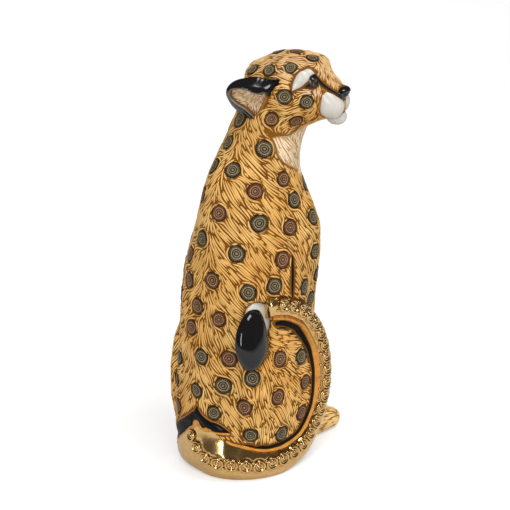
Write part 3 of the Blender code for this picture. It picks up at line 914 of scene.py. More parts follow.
    def _profile(self, across: Array, slope: Array | float) -> Array:
        """Share of the outer thickness at a share across, with a shelf on the inner side."""
        full = (1 - np.minimum(np.abs(across), 1.0) ** self.fullness) ** (1 / self.fullness)
        shelf = np.clip((-0.12 - across) / 0.88, 0, 1)
        return full * (1 - slope * shelf ** 0.9)

    def sink(self, points: Array) -> Array:
        """Skin points pressed back under the tail.

        Args:
            points: skin places in the drawing.

        Returns:
            The same places, none standing out through the tail.
        """
        out = points.copy()
        for part in np.array_split(np.arange(len(points)), max(1, len(points) // 3000)):
            rel = points[part][:, None] - self.centres[None, ::4]
            best = (rel ** 2).sum(axis=2).argmin(axis=1) * 4
            rel = points[part] - self.centres[best]
            across = (rel * self.across[best]).sum(axis=1) / self.heights[best]
            across = np.where(across < 0, across / self.waist[best], across)
            lift = (rel * self.out[best]).sum(axis=1)
            limit = self._profile(across, self.slope[best]) * self.thicks[best] - 1.6
            under = (np.abs(across) < 0.96) & (lift > limit) & (lift < 16)
            move = np.where(under, np.maximum(limit, -3.0) - lift, 0.0)
            out[part] = points[part] + self.out[best] * move[:, None]
        return out

    def place(self, station: Array | float) -> tuple[Array, ...]:
        """Centre, across, out, half height and half thickness at stations."""
        where = np.asarray(station, float) / (len(self.stations) - 1) * (self.steps - 1)
        grid = np.arange(self.steps)

        def pick(values: Array) -> Array:
            """Values between the steps."""
            if values.ndim == 1:
                return np.interp(where, grid, values)
            return np.stack([np.interp(where, grid, v) for v in values.T], axis=-1)
        return tuple(pick(v) for v in (self.centres, self.across, self.out, self.heights, self.thicks))

    def build_body(self) -> Piece:
        """The smooth gilt tube of the tail."""
        angle = np.linspace(0.0, 2.0 * math.pi, self.round_count + 1)[:, None]
        across, under = (np.sign(side) * np.abs(side) ** (2 / self.fullness)
                         for side in (np.cos(angle), np.sin(angle)))
        rings = []
        for i in range(self.steps):
            lift = np.where(under > 0, self._profile(across, self.slope[i]), under)
            share = np.where(across < 0, across * self.waist[i], across)
            rings.append(self.centres[i] + self.across[i] * share * self.heights[i]
                         + self.out[i] * lift * self.thicks[i])
        loop = np.array(rings)
        first = np.repeat(self.centres[:1, None], loop.shape[1], axis=1)
        last = np.repeat(self.centres[-1:, None], loop.shape[1], axis=1)
        points = np.concatenate([first, loop, last]) + ORIGIN
        points[:, :, 2] = np.maximum(points[:, :, 2], 0.02)
        return draped_grid("gilt_tail", points)

    def engrave(self, obj: Piece) -> None:
        """Press a fine groove round every boss and paint shade into the lustre in it."""
        places = coordinates(obj.data) / MM
        normals = vertex_normals(obj.data)
        depth = np.zeros(len(places))
        for spot, size in self.seats:
            away = np.linalg.norm(places - spot, axis=1) / size
            depth = np.maximum(depth, np.exp(-((away - 1.10) / 0.13) ** 2))
        move_vertices(obj.data, (places - normals * (depth * 0.35)[:, None]) * MM)
        # Painted shade: the lustre darkened in the grooves round the bosses.
        paint(obj, blend_tones(Tone.GOLD.rgb, Tone.GOLD_DEEP.rgb, depth * 0.85))

    def _beside(self, back: Array, up: Array, lift: Array) -> Array:
        """Drawing positions of heights over the leaning plane that the tip lies in."""
        return np.stack([self.tip_plane + (up - 108.0) * self.tip_lean - lift, back, up], axis=-1)

    def build_tip(self) -> Piece:
        """The black drop that ends the tail."""
        middle = np.mean(self.drop, axis=0)
        outline = middle + (spline(self.drop, 97, closed=True) - middle) * 1.035
        return pebble("tail_drop", outline, self._beside, 9.2, 6.0,
                      power=2.1, rings=72, crown=(39.0, 101.5))

    def build_band(self) -> Piece:
        """The white hood behind the top of the drop."""
        def leaning(back: Array, up: Array, lift: Array) -> Array:
            """The hood's plane, falling away under the drop's far side."""
            return self._beside(back, up, lift - 0.17 * np.maximum(back - 27.0, 0.0))
        return pebble("tail_drop_hood", spline(self.hood, 73, closed=True), leaning, 2.6, 7.0,
                      power=2.8, rings=44)

    def inner_edge(self, stations: Array, inset: Array | float) -> Array:
        """Line at a distance inside the tail's ring."""
        centre, across, _, height, _ = self.place(stations)
        height = height * lookup(self.inner, stations)
        return centre - across * (height + inset)[:, None]

    def build_bosses(self, surface: Surface) -> Piece:
        """Round bosses, each a ring about a bead, in a row with small beads between.

        Args:
            surface: the tail's own surface.

        Returns:
            One object with all the bosses.
        """
        points, faces = [], []
        self.seats: list[tuple[Array, float]] = []

        def turn(at: float, across: float, size: float, rise: float,
                 rings: tuple[Pair, ...]) -> Array:
            """Turn one profile on the tail and return the middle of its bed."""
            seat = self._seat(surface, at, across)
            start = sum(len(p) for p in points)
            points.append(self._turned(surface, seat, size, rise, rings))
            faces.extend(turned_faces(start, len(rings) - 1, self.boss_sides))
            return seat[0]

        station, last = self.boss_line[0][0], self.boss_line[-1][0]
        while station < last:
            size = float(lookup(self.boss_line, station, 2))
            spot = turn(station, lookup(self.boss_line, station), size, self.boss_rise, self.boss)
            self.seats.append((spot, size))
            ahead_at = station
            while ahead_at < last + 1:
                ahead_at += 0.01
                seat = self._seat(surface, ahead_at, lookup(self.boss_line, ahead_at))[0]
                if np.linalg.norm(seat - spot) > 2 * size + self.boss_gap:
                    break
            middle = (station + ahead_at) / 2
            between = lookup(self.boss_line, middle)
            beside = self.bead_offset * size / self.place(middle)[3]
            for across in (between - beside, between + beside):
                turn(middle, across, self.bead_size, 1.0, self.bead)
            station = ahead_at
        obj = joined_mesh("tail_bosses", np.vstack(points), faces)
        # Painted shade: the bosses are darker low down where they meet the tail, full gold higher up.
        places = coordinates(obj.data) / MM
        beds, normals, _ = surface.drop(places)
        height = ((places - beds) * normals).sum(axis=1)
        paint(obj, blend_tones(Tone.GOLD_DEEP.rgb, Tone.GOLD.rgb, smoothstep(0.0, 0.95, height)))
        return obj

    def _seat(self, surface: Surface, station: float, across: float) -> tuple[Array, ...]:
        """Point on the tail, and the directions ahead and aside there."""
        centre, side, out, height, thick = self.place(station)
        across = float(np.clip(across, -0.95, 0.95))
        slope = np.interp(station, self.station, self.slope)
        waist = lookup(self.inner, station) if across < 0 else 1.0
        spot = centre + side * height * across * waist \
            + out * thick * self._profile(across, slope)
        spots, normals, _ = surface.drop((spot + ORIGIN)[None])
        ahead = unit(np.cross(side, normals[0]))
        return spots[0], ahead, np.cross(normals[0], ahead)

    def _turned(self, surface: Surface, seat: tuple[Array, ...], size: float, rise: float,
                rings: tuple[Pair, ...]) -> Array:
        """Points of a turned profile, bedded on the surface."""
        spot, ahead, side = seat
        angle = ring_angles(self.boss_sides)
        rim = ahead * np.cos(angle) + side * np.sin(angle)
        lay = np.concatenate([spot + rim * (size * r) for r, _ in rings[:-1]] + [spot[None]])
        beds, normals, _ = surface.drop(lay)
        lifts = np.repeat([h for _, h in rings], self.boss_sides)[:len(lay)] * rise
        return beds + normals * lifts[:, None]


# ---- ears
@dataclass
class Ear:
    """A cupped leaf of an ear laid back along the skull, black outside and cream within."""

    side: int
    # along, right, up of the head: top edge, tip, lower rim, root
    outline: Places = (
        (-8.3, 20.5, 12.2), (-13, 22, 12.3), (-18, 23, 12.9), (-25, 25, 14.4), (-33, 27, 13.2),
        (-38.4, 29, 11.2), (-42.2, 30, 7.6), (-43.4, 31, 3.6), (-42.2, 31, -0.8), (-37.9, 31, -6.8),
        (-30.4, 31, -11.8), (-25.4, 30, -14.6), (-21.8, 27.5, -17), (-19.2, 25, -13), (-16.6, 25, -6),
        (-13, 24.5, 0.5), (-9.6, 22.5, 6), (-7.6, 20.8, 10.2))
    cup: Places = (
        (-40.2, 32.6, 3.6), (-38.6, 32.6, 6.2), (-34.5, 32.4, 7.2), (-29.5, 32, 7), (-24, 31.5, 4.9),
        (-20, 30, 4), (-16.5, 28, 4.6), (-16.4, 27, 1), (-19, 26, -5.6), (-21.6, 26, -11),
        (-22.6, 27.6, -14.4), (-24.8, 31, -10.2), (-28.8, 32.8, -6.2), (-35, 33, -2.8),
        (-39.2, 32.8, 0.8))
    middle: Pair = (-26.5, 0.5)
    hair_root: Pair = (-17, 8)
    steps: int = 64
    around: int = 132
    depth: float = 4.6

    def __post_init__(self) -> None:
        """Work out the closed curves of the leaf and its cup."""
        self.edge = spline(self.outline, self.around + 1, closed=True)
        self.lip = spline(self.cup, 121, closed=True)

    @staticmethod
    def _away(points: Array, curve: Array) -> Array:
        """Distance of flat points from a closed curve, negative inside."""
        a, b = curve[:-1], curve[1:]
        run = b - a
        rel = points[:, None] - a[None]
        t = np.clip((rel * run).sum(axis=2) / np.maximum((run ** 2).sum(axis=1), 1e-9), 0, 1)
        gap = np.linalg.norm(rel - run[None] * t[:, :, None], axis=2).min(axis=1)
        x, y = points[:, 0:1], points[:, 1:2]
        crossing = (a[:, 1] > y) != (b[:, 1] > y)
        cut = a[:, 0] + (y - a[:, 1]) / np.where(np.abs(run[:, 1]) < 1e-9, 1e-9, run[:, 1]) * run[:, 0]
        inside = (crossing & (x < cut)).sum(axis=1) % 2 == 1
        return np.where(inside, -gap, gap)

    def _base(self, points: Array) -> Array:
        """Smooth height of the leaf, to the head's right, through both curves."""
        known = np.concatenate([self.edge[:-1:3], self.lip[:-1:3]])
        gap = np.linalg.norm(points[:, None] - known[None, :, ::2], axis=2)
        weight = 1.0 / (gap + 0.6) ** 3
        return (weight * known[None, :, 1]).sum(axis=1) / weight.sum(axis=1)

    def _relief(self, points: Array) -> tuple[Array, Array]:
        """Height of the front over the smooth leaf, and distance from the cup's lip."""
        inner = np.maximum(-self._away(points, self.edge[:, ::2]), 0)
        lip = self._away(points, self.lip[:, ::2])
        rise = 2.0 * (1 - np.exp(-(inner / 1.7) ** 1.5)) - 0.9
        rise -= 0.8 * np.clip(1 - lip / 1.1, 0, 1) ** 2 * (lip > 0)
        rise -= 0.45 * np.exp(-((lip - 2.1) / 0.30) ** 2) * smoothstep(1.0, -1.0, points[:, 1])
        cup = 1 - np.exp(-np.maximum(-lip, 0) / 1.7)
        shallow = 1 - 0.45 * smoothstep(-26, -16, points[:, 0])
        rise = np.where(lip < 0, rise * (1 - cup) - 0.8 - self.depth * cup * shallow, rise)
        return rise, lip

    def build(self) -> Piece:
        """Model the leaf, front and back, and paint it.

        Returns:
            The ear object.
        """
        centre = np.array(self.middle)
        share = np.linspace(0.0, 1.0, self.steps)[:, None, None] ** 0.9
        flat = centre + (self.edge[None, :, ::2] - centre) * share
        rows, columns = flat.shape[:2]
        points = flat.reshape(-1, 2)
        base = self._base(points)
        rise, _ = self._relief(points)
        inner = np.maximum(-self._away(points, self.edge[:, ::2]), 0)
        thick = 0.9 + 6.2 * (1 - np.exp(-inner / 3.2))
        front = (base + rise).reshape(rows, columns)
        back = (base - 0.9 - thick + 0.9 * np.exp(-inner / 0.8)).reshape(rows, columns)
        front[-1] = back[-1] = (front[-1] + back[-1]) / 2
        depth = np.concatenate([front, back[-2::-1]])
        flat = np.concatenate([flat, flat[-2::-1]])
        places = HEAD_ORIGIN + ORIGIN + flat[:, :, :1] * AHEAD \
            + depth[:, :, None] * RIGHT * self.side + flat[:, :, 1:] * UP
        obj = draped_grid(sided("ear_shell", self.side), places)
        self._paint(obj)
        return obj

    def _flat(self, places: Array) -> tuple[Array, Array]:
        """Flat coordinates of drawing places, and their height to the ear's side."""
        a, r, u = head_coordinates(places)
        return np.stack([a, u], axis=1), r * self.side

    def _paint(self, obj: Piece) -> None:
        """Black leaf with a paler lip, partly thinned glaze and partly painted highlight; cream cup,
        with painted shadow just inside the lip.
        """
        flat, right = self._flat(coordinates(obj.data) / MM - ORIGIN)
        rise, lip = self._relief(flat)
        front = smoothstep(-1.6, -0.6, right - self._base(flat) - rise)
        # Paler lines at the lip and on the lower rim's ridge: partly glaze thinned over the edge, partly
        # painted highlight.
        pale = np.exp(-((lip - 0.2) / 0.38) ** 2) * 0.95 \
            + 0.5 * np.exp(-((lip - 2.7) / 0.3) ** 2) * smoothstep(1.0, -1.0, flat[:, 1])
        tone = blend_tones(Tone.BLACK.rgb, Tone.LIP.rgb, np.clip(pale * front, 0, 1))
        cup = smoothstep(-0.1, -0.55, lip) * front
        # Painted shadow: the cup is darkest just under its lip and shaded cream deeper in.
        deep = blend_tones(Tone.GROOVE.rgb, Tone.CREAM_SHADE.rgb, smoothstep(-0.6, -3.0, lip))
        root = smoothstep(-24.5, -21.5, flat[:, 0]) * smoothstep(3.2, 0.8, flat[:, 1]) * front
        tone = blend_tones(tone, Tone.AMBER_DEEP.rgb, root)
        paint(obj, blend_tones(tone, deep, cup))

    def hair_faces(self, obj: Piece) -> tuple[Array, Array, Array]:
        """Middles of the ear's faces, the lie of its hair, and where hair grows.

        Args:
            obj: the finished ear.

        Returns:
            Face middles in shared-frame millimetres, hair directions, and a mask.
        """
        middles, normals = face_table(obj.data)
        flat, right = self._flat(middles - ORIGIN)
        rise, lip = self._relief(flat)
        away = unit(flat - np.array(self.hair_root))
        lie = tangent(away[:, :1] * AHEAD + away[:, 1:] * UP, normals)
        return middles, lie, (lip < -0.9) & (right - self._base(flat) - rise > -1.0)


# ---- face
@dataclass
class Face:
    """Glossy parts of the face: nose, pads, chin, eyes, brow patches and tear lines."""

    # edges of the brow patch over the eye, head's along, right, up
    brow_upper: Places = (
        (1.2, 22, 6), (1.8, 22, 11), (4.6, 20.8, 17.6), (8.8, 18, 21.6), (11.8, 16, 21.2),
        (14.8, 14.5, 17.4))
    brow_lower: Places = (
        (1.2, 22, 6), (5, 21, 7.6), (8, 19.5, 10.2), (10.4, 18.6, 13.4), (12.4, 17.2, 15.6),
        (14.8, 14.5, 17.4))
    eye: tuple[Triple, Triple] = ((12.4, 16.2, 11.4), (4.6, 3.4, 4.4))
    lid_upper: Places = ((15.6, 14.8, 17.2), (12.8, 16.5, 16.6), (10.7, 17.5, 13.5), (8.2, 18.8, 8.9))
    lid_lower: Places = (
        (15.6, 14.8, 17.2), (17.4, 14.6, 14.4), (16.8, 15.6, 10.6), (13, 17.4, 7.2), (8.2, 18.8, 8.9))
    tear: Places = (
        (14.6, 15.2, 15.4), (16.8, 14.6, 13.6), (20.3, 13, 9.5), (24.2, 11, 5.8), (29.2, 8.5, 2.4),
        (33, 5.4, -1.4))
    # share along it, width
    tear_width: tuple[Pair, ...] = ((0, 3.4), (0.2, 3), (0.6, 2.3), (1, 2))
    pad_edge: Places = (
        (29.5, 9.5, -15), (22.5, 13.5, -14.2), (18.3, 16, -9.8), (19.2, 15.4, -3.3), (21.4, 13.9, 3.8),
        (23.2, 12.5, 5.6))
    mouth: Places = ((22, 12.5, -14.6), (28, 9.6, -14.2), (32.4, 5.4, -12.8), (34, 0.6, -11.8))
    pad: tuple[Triple, Triple] = ((25, 7.6, -4.9), (8.9, 8.6, 9.4))
    chin: tuple[Triple, Triple] = ((27, 0, -15.2), (6.9, 7.6, 5.5))
    nose: tuple[Triple, Triple] = ((29.4, 0, 2), (7, 7.8, 5.6))

    @staticmethod
    def leaf(name: str, side: int, edges: Sequence[Places], surface: Surface,
             **settings: float) -> Piece:
        """A raised patch between two edges on one side of the head."""
        upper, lower = (head_curve(edge, side) for edge in edges)
        return Inlay(sided(name, side), upper, lower, sink=1.0, **settings).build(surface)

    @staticmethod
    def thread(name: str, side: int, rows: Places, widths: Array, *surfaces: Surface,
               **settings: float) -> Piece:
        """A thin line on one side of the head, with a width for each of its points."""
        path = head_curve(rows, side, len(widths))
        return ribbon(sided(name, side), path, widths, surfaces[0], **settings).build(*surfaces)

    def brow_rim(self, side: int, surface: Surface) -> Piece:
        """Dark engraved line round the brow leaf."""
        path = np.concatenate([head_curve(self.brow_lower[:3], side, 14)[::-1],
                               head_curve(self.brow_upper, side, 40)[1:]])
        path = path + unit(path - path.mean(axis=0)) * 0.35
        widths = np.full(len(path), 1.3)
        return ribbon(sided("brow_line", side), path, widths, surface, rise=0.35).build(surface)

    def eyeball(self, side: int) -> Piece:
        """Dark glazed eye under the brow leaf."""
        (a, r, u), radii = self.eye

        def almond(ball: Array) -> Array:
            """Draw the front of the eye out to a corner that points down the tear line."""
            out = ball.copy()
            front = np.maximum(ball[:, 0], 0)
            out[:, 2] -= 0.35 * front ** 2
            out[:, 0] += 0.15 * front
            return out

        obj = shaped_ball(sided("eye_glass", side), (a, r * side, u), radii, almond)
        shade = np.clip(cloud(coordinates(obj.data) / MM - ORIGIN, 1.6, 3.0) * 1.4, 0, 1) ** 1.5
        paint(obj, blend_tones(Tone.BLACK.rgb * 1.6, Tone.OLIVE_LIGHT.rgb * 0.45, shade))
        return obj

    def whisker_pad(self, side: int) -> Piece:
        """White cushion of the upper lip."""
        (a, r, u), radii = self.pad

        def cushion(ball: Array) -> Array:
            """Square the ball and slope its top edge down to the front."""
            out = np.sign(ball) * np.abs(ball) ** 0.86
            high = np.maximum(ball[:, 2], 0)
            out[:, 2] *= np.where(out[:, 2] > 0, 1.29 - 0.54 * out[:, 0], 1 + 0.08 * out[:, 0])
            out[:, 0] -= 0.34 * high
            out[:, 1] += 0.10 * side * np.maximum(-out[:, 0], 0)
            return out

        return shaped_ball(sided("lip_pad", side), (a, r * side, u), radii, cushion)

    def chin_pad(self) -> Piece:
        """White chin."""
        centre, radii = self.chin
        return shaped_ball("chin_pad", centre, radii,
                           lambda ball: np.sign(ball) * np.abs(ball) ** 0.92)

    def nose_pad(self) -> Piece:
        """Black nose with nostrils and a cleft."""
        centre, radii = self.nose

        def leather(ball: Array) -> Array:
            """Flatten the top, narrow the foot and press in the nostrils."""
            out = ball.copy()
            low = np.maximum(-ball[:, 2], 0)
            out[:, 1] *= 1 - 0.45 * low
            out[:, 2] = np.where(ball[:, 2] > 0, ball[:, 2] * 0.86, ball[:, 2] * 1.10)
            out[:, 2] += 0.22 * ball[:, 0]
            out[:, 0] -= 0.26 * low
            for side in (1, -1):
                hole = np.exp(-(((ball[:, 1] - 0.55 * side) / 0.24) ** 2
                                + ((ball[:, 2] + 0.15) / 0.22) ** 2))
                out[:, 0] -= 0.32 * hole * (ball[:, 0] > 0)
            cleft = np.exp(-(ball[:, 1] / 0.10) ** 2) * (ball[:, 0] > 0) * (ball[:, 2] < 0.2)
            out[:, 0] -= 0.16 * cleft
            return out

        return shaped_ball("nose_leather", centre, radii, leather, 56, 36)


# ---- zones of hair
@dataclass
class Zones:
    """Where the hair is short, pale or absent, and which way it lies."""

    spine_fan: float = 0.75
    wander: float = 0.55
    haunch_crown: Triple = (0, 38, 112)
    crescent: Array = field(default_factory=lambda: np.zeros((0, 3)), repr=False)

    @staticmethod
    def head_share(points: Array) -> Array:
        """1 on the head, 0 on the neck and body."""
        a, r, u = head_coordinates(points)
        reach = np.sqrt(((a + 3) / 40) ** 2 + (r / 31) ** 2 + ((u + 1) / 30) ** 2)
        return 1 - smoothstep(0.95, 1.2, reach)

    @staticmethod
    def thigh_share(points: Array) -> Array:
        """1 on the haunches."""
        x, y, z = points.T
        reach = np.sqrt(((y - 1) / 42) ** 2 + ((z - 59) / 61) ** 2)
        return (1 - smoothstep(0.85, 1.1, reach)) * smoothstep(26, 33, np.abs(x))

    @staticmethod
    def paw_share(points: Array) -> Array:
        """1 on the feet."""
        _, y, z = points.T
        return (1 - smoothstep(18, 30, z)) * smoothstep(-28, -38, y)

    @staticmethod
    def throat_share(points: Array) -> Array:
        """1 on the pale throat and down the middle of the chest."""
        x, y, z = points.T
        a, _, u = head_coordinates(points)
        edge = np.interp(z, (150, 175, 200, 216, 223, 229, 234, 239, 244, 262),
                         (-60, -54, -40, -21, -9, -3, -1.5, -1.5, -1, 6))
        edge -= 0.45 * np.maximum(x - 2.0, 0)
        under = smoothstep(2.0, -1.0, y - edge) * smoothstep(150, 190, z)
        jaw = np.interp(a, (-25, -11, 4.4, 18, 30), (-20, -26, -23, -15.5, -12))
        return under * smoothstep(0.5, -1.0, u - jaw)

    def shadow_share(self, points: Array, strand: Array) -> Array:
        """1 on hair whose root stands in the black crescent inside the tail."""
        share = np.zeros(len(points))
        near = np.flatnonzero(self.thigh_share(points) > 0.02)
        for part in np.array_split(near, max(1, len(near) // 4000)):
            gap = np.linalg.norm(points[part][:, None] - self.crescent[None], axis=2).min(axis=1)
            share[part] = 1 - smoothstep(0.3, 0.9, gap - 3.4 * strand[part] ** 1.5)
        return share

    def scale(self, points: Array) -> Array:
        """Size of the hair relief, 1 on the back."""
        head = self.head_share(points)
        muzzle = head * smoothstep(8, 20, head_coordinates(points)[0])
        size = (1 - 0.30 * head) * (1 - 0.22 * self.paw_share(points))
        return size * (1 - 0.18 * self.thigh_share(points)) * (1 - 0.2 * muzzle)

    def lie(self, points: Array, normals: Array) -> Array:
        """Direction of the hair, a unit tangent at each point.

        Args:
            points: places in the drawing.
            normals: skin normals there.

        Returns:
            Unit vectors along the hair, from root to tip.
        """
        level = unit(np.cross(UP, normals) + 1e-9)
        fan = np.tanh(-points[:, 0] / 9.0) * self.spine_fan
        fan *= 1 - 0.8 * smoothstep(-8, -34, points[:, 1])
        lie = unit(level * fan[:, None] - UP)
        thigh = self.thigh_share(points)
        haunch = unit((points - self.haunch_crown) * (0.0, 1.0, 1.0) + 1e-6)
        lie = lie * (1 - thigh)[:, None] + haunch * thigh[:, None]
        paw = self.paw_share(points)[:, None]
        lie = lie * (1 - paw) + np.array((0, -1.0, -0.25)) * paw
        head = self.head_share(points)[:, None]
        back = unit(points - at_head(36, 0, 2))
        snout = smoothstep(9, 17, head_coordinates(points)[0])[:, None]
        back = unit(back * (1 - 0.8 * snout) - UP * 0.9 * snout)
        lie = tangent(lie * (1 - head) + back * head, normals)
        turn = self.wander * cloud(points, 24.0, 1.0) + 0.26 * cloud(points, 9.0, 2.0)
        side = np.cross(normals, lie)
        return unit(lie * np.cos(turn)[:, None] + side * np.sin(turn)[:, None])

    def coat_tone(self, points: Array, strand: Array | None = None) -> Array:
        """Glaze colour of the hair at each point, with painted light on the haunches and painted shadow
        on the nape.

        Args:
            points: places in the drawing.
            strand: a number between 0 and 1 for each point's own strand.

        Returns:
            Rows of linear colour.
        """
        patch = 0.5 + 0.55 * cloud(points, 26.0, 4.0) + 0.25 * cloud(points, 9.0, 5.0)
        if strand is not None:
            patch = patch + 0.5 * (strand - 0.5)
        tone = blend_tones(Tone.STRAW.rgb, Tone.OCHRE.rgb, np.clip(patch, 0, 1))
        golden = np.clip(cloud(points, 34.0, 6.0) * 1.6 - 0.15, 0, 1) * 0.55
        tone = blend_tones(tone, Tone.AMBER.rgb * 1.15, golden)
        tone = blend_tones(tone, Tone.SOLE.rgb, self.paw_share(points))
        a, _, u = head_coordinates(points)
        head = self.head_share(points)
        tuft = np.exp(-(((a - 14.5) / 7.0) ** 2 + ((u - 4.5) / 3.2) ** 2)) * head
        tone = blend_tones(tone, Tone.CREAM.rgb, 0.8 * tuft)
        top = head * smoothstep(4.0, 20.0, u + 0.25 * a)
        tone = blend_tones(tone, Tone.CREAM.rgb, 0.38 * top)
        # Painted light and shade: the haunches lighter where light falls on them, the nape darker in the
        # head's shadow.
        nape_shadow = smoothstep(222, 246, points[:, 2]) * (1 - head)
        tone = tone * (1 + 0.16 * self.thigh_share(points) - 0.14 * nape_shadow)[:, None]
        throat = self.throat_share(points)
        fleck = smoothstep(0.42, 0.62, cloud(points, 5.5, 8.0)) * smoothstep(205, 222, points[:, 2])
        pale = blend_tones(Tone.CREAM.rgb, Tone.UMBER_LIGHT.rgb * 0.8, 0.55 * fleck)
        return tone * (1 - throat)[:, None] + pale * throat[:, None]


# ---- spots
@dataclass
class Spots:
    """Raised spots of plain concentric rings, evenly scattered over the coat."""

    spacing: float = 19.0
    radius: float = 5.35
    margin: float = 0.6
    candidates: int = 7000
    closest: float = 0.93
    olive_share: float = 0.55
    around: int = 44
    seed: int = 7
    # radius share, height, tone share from dark to light
    profile: Places = (
        (1.1, -0.55, 0), (1.03, 0.1, 0), (0.95, 0.46, 0.1), (0.84, 0.56, 0.42), (0.75, 0.4, 0.1),
        (0.69, 0.44, 0.8), (0.64, 0.44, 0.8), (0.57, 0.24, 0), (0.46, 0.46, 0.1), (0.38, 0.44, 0.75),
        (0.31, 0.3, 0.1), (0.22, 0.28, 0), (0.12, 0.5, 0.55), (0, 0.54, 0.75))

    def pace(self, points: Array, zones: Zones) -> Array:
        """Distance between spots, smaller on the head and feet."""
        head = zones.head_share(points)
        crown = head * smoothstep(8, 20, head_coordinates(points)[2])
        leg = smoothstep(-14, -24, points[:, 1]) * smoothstep(140, 80, points[:, 2])
        return self.spacing * (1 - 0.12 * head - 0.14 * crown) * (1 - 0.28 * leg)

    def scatter(self, skin: Surface, middles: Array, clear: Array, zones: Zones) -> None:
        """Choose the middles of the spots.

        Args:
            skin: the skin's surface.
            middles: drawing places of its faces.
            clear: distance of each face from smooth parts.
            zones: the hair zones.
        """
        draw = np.random.default_rng(self.seed)
        pace, head = self.pace(middles, zones), zones.head_share(middles)
        room = (clear > pace / self.spacing * self.radius + self.margin)
        room &= zones.throat_share(middles) < 0.1
        room &= (middles[:, 2] > 7.0) & (zones.paw_share(middles) < 0.4)
        along, _, up = head_coordinates(middles)
        room &= (head < 0.3) | (along < np.where(up > 8, 12.0, 13.5))
        room &= ~((head > 0.02) & (up < -17.5) & (along > -12))
        pool = np.flatnonzero(room)
        pool = draw.choice(pool, min(self.candidates, len(pool)), replace=False)
        places, gaps = middles[pool], pace[pool]
        fancy = draw.uniform(0.93, 1.07, len(pool))
        nearest = np.full(len(pool), 1e6)
        chosen = []
        pick = int(np.argmax(places[:, 1]))
        while True:
            chosen.append(pick)
            nearest = np.minimum(nearest, np.linalg.norm(places - places[pick], axis=1))
            score = nearest / gaps * fancy
            pick = int(np.argmax(score))
            if score[pick] < self.closest:
                break
        self.centres = places[chosen]
        self.radii = self.radius * gaps[chosen] / self.spacing * draw.uniform(0.92, 1.08, len(chosen))
        self.olive = draw.random(len(chosen)) < self.olive_share
        self.phases = draw.uniform(0, 2 * math.pi, (len(chosen), 3))
        _, self.normals, _ = skin.drop(self.centres + ORIGIN)

    def dark(self, which: Array) -> Array:
        """Dark colour of the spots with those numbers."""
        return np.where(self.olive[which][:, None], Tone.OLIVE_DARK.rgb, Tone.UMBER_DARK.rgb)

    def nearness(self, points: Array) -> tuple[Array, Array]:
        """Number of the nearest spot for each point, and how many radii away it is."""
        best = np.full(len(points), 1e9)
        which = np.zeros(len(points), int)
        for i, (centre, radius) in enumerate(zip(self.centres, self.radii)):
            away = np.linalg.norm(points - centre, axis=1) / radius
            closer = away < best
            best[closer], which[closer] = away[closer], i
        return which, best

    def build(self, skin: Surface, olive: bool, uv: Array) -> Piece:
        """Turn the spots of one colour on the skin.

        Args:
            skin: the skin's surface.
            olive: the olive-black spots, or the umber ones.
            uv: unwrap place of each skin face.

        Returns:
            One object with those spots.
        """
        dark, light = (Tone.OLIVE_DARK, Tone.OLIVE_LIGHT) if olive else (Tone.UMBER_DARK,
                                                                        Tone.UMBER_LIGHT)
        angle = ring_angles(self.around)
        size = (len(self.profile) - 1) * self.around + 1
        radii, heights, shades = (np.repeat(row, self.around)[:size] for row in zip(*self.profile))
        fine = np.arange(size) % 2
        points, faces, tones, spread = [], [], [], []
        for i in np.flatnonzero(self.olive == olive):
            normal, radius, phase = self.normals[i], self.radii[i], self.phases[i]
            across = unit(np.cross(normal, (0.3, 0.2, 1.0)))
            rise = np.cross(normal, across)
            wobble = 1 + 0.04 * np.sin(2 * angle + phase[0]) + 0.03 * np.sin(3 * angle + phase[1])
            ragged = 1 + 0.05 * np.sin(9 * angle + phase[2]) * np.sin(4 * angle + phase[0])
            rim = (across * np.cos(angle) + rise * np.sin(angle)) * wobble
            flat = np.concatenate([self.centres[i] + rim * radius * r * (ragged if r > 0.9 else 1.0)
                                   for r, _, _ in self.profile[:-1]] + [self.centres[i][None]])
            beds, normals, face = skin.drop(flat + ORIGIN)
            points.append(beds + normals * heights[:, None])
            ticks = 0.5 + 0.5 * np.sin(np.tile(angle[:, 0] * 9 + phase[2], len(self.profile))[:size])
            shade = np.where(radii > 0.8, shades * fine, shades * (0.75 + 0.25 * ticks))
            tones.append(blend_tones(dark.rgb, light.rgb, shade))
            spread.append(uv[face])
            faces += turned_faces((len(points) - 1) * size, len(self.profile) - 1, self.around)
        obj = joined_mesh("spots_olive" if olive else "spots_umber", np.vstack(points), faces)
        paint(obj, np.vstack(tones))
        lay_unwrap(obj, np.vstack(spread))
        return obj


def lay_unwrap(obj: Piece, uv: Array) -> None:
    """Store an unwrap place for each vertex as the map named OFBake."""
    layer = obj.data.uv_layers.new(name="OFBake")
    index = np.empty(len(obj.data.loops), int)
    obj.data.loops.foreach_get("vertex_index", index)
    layer.data.foreach_set("uv", uv[index].reshape(-1))


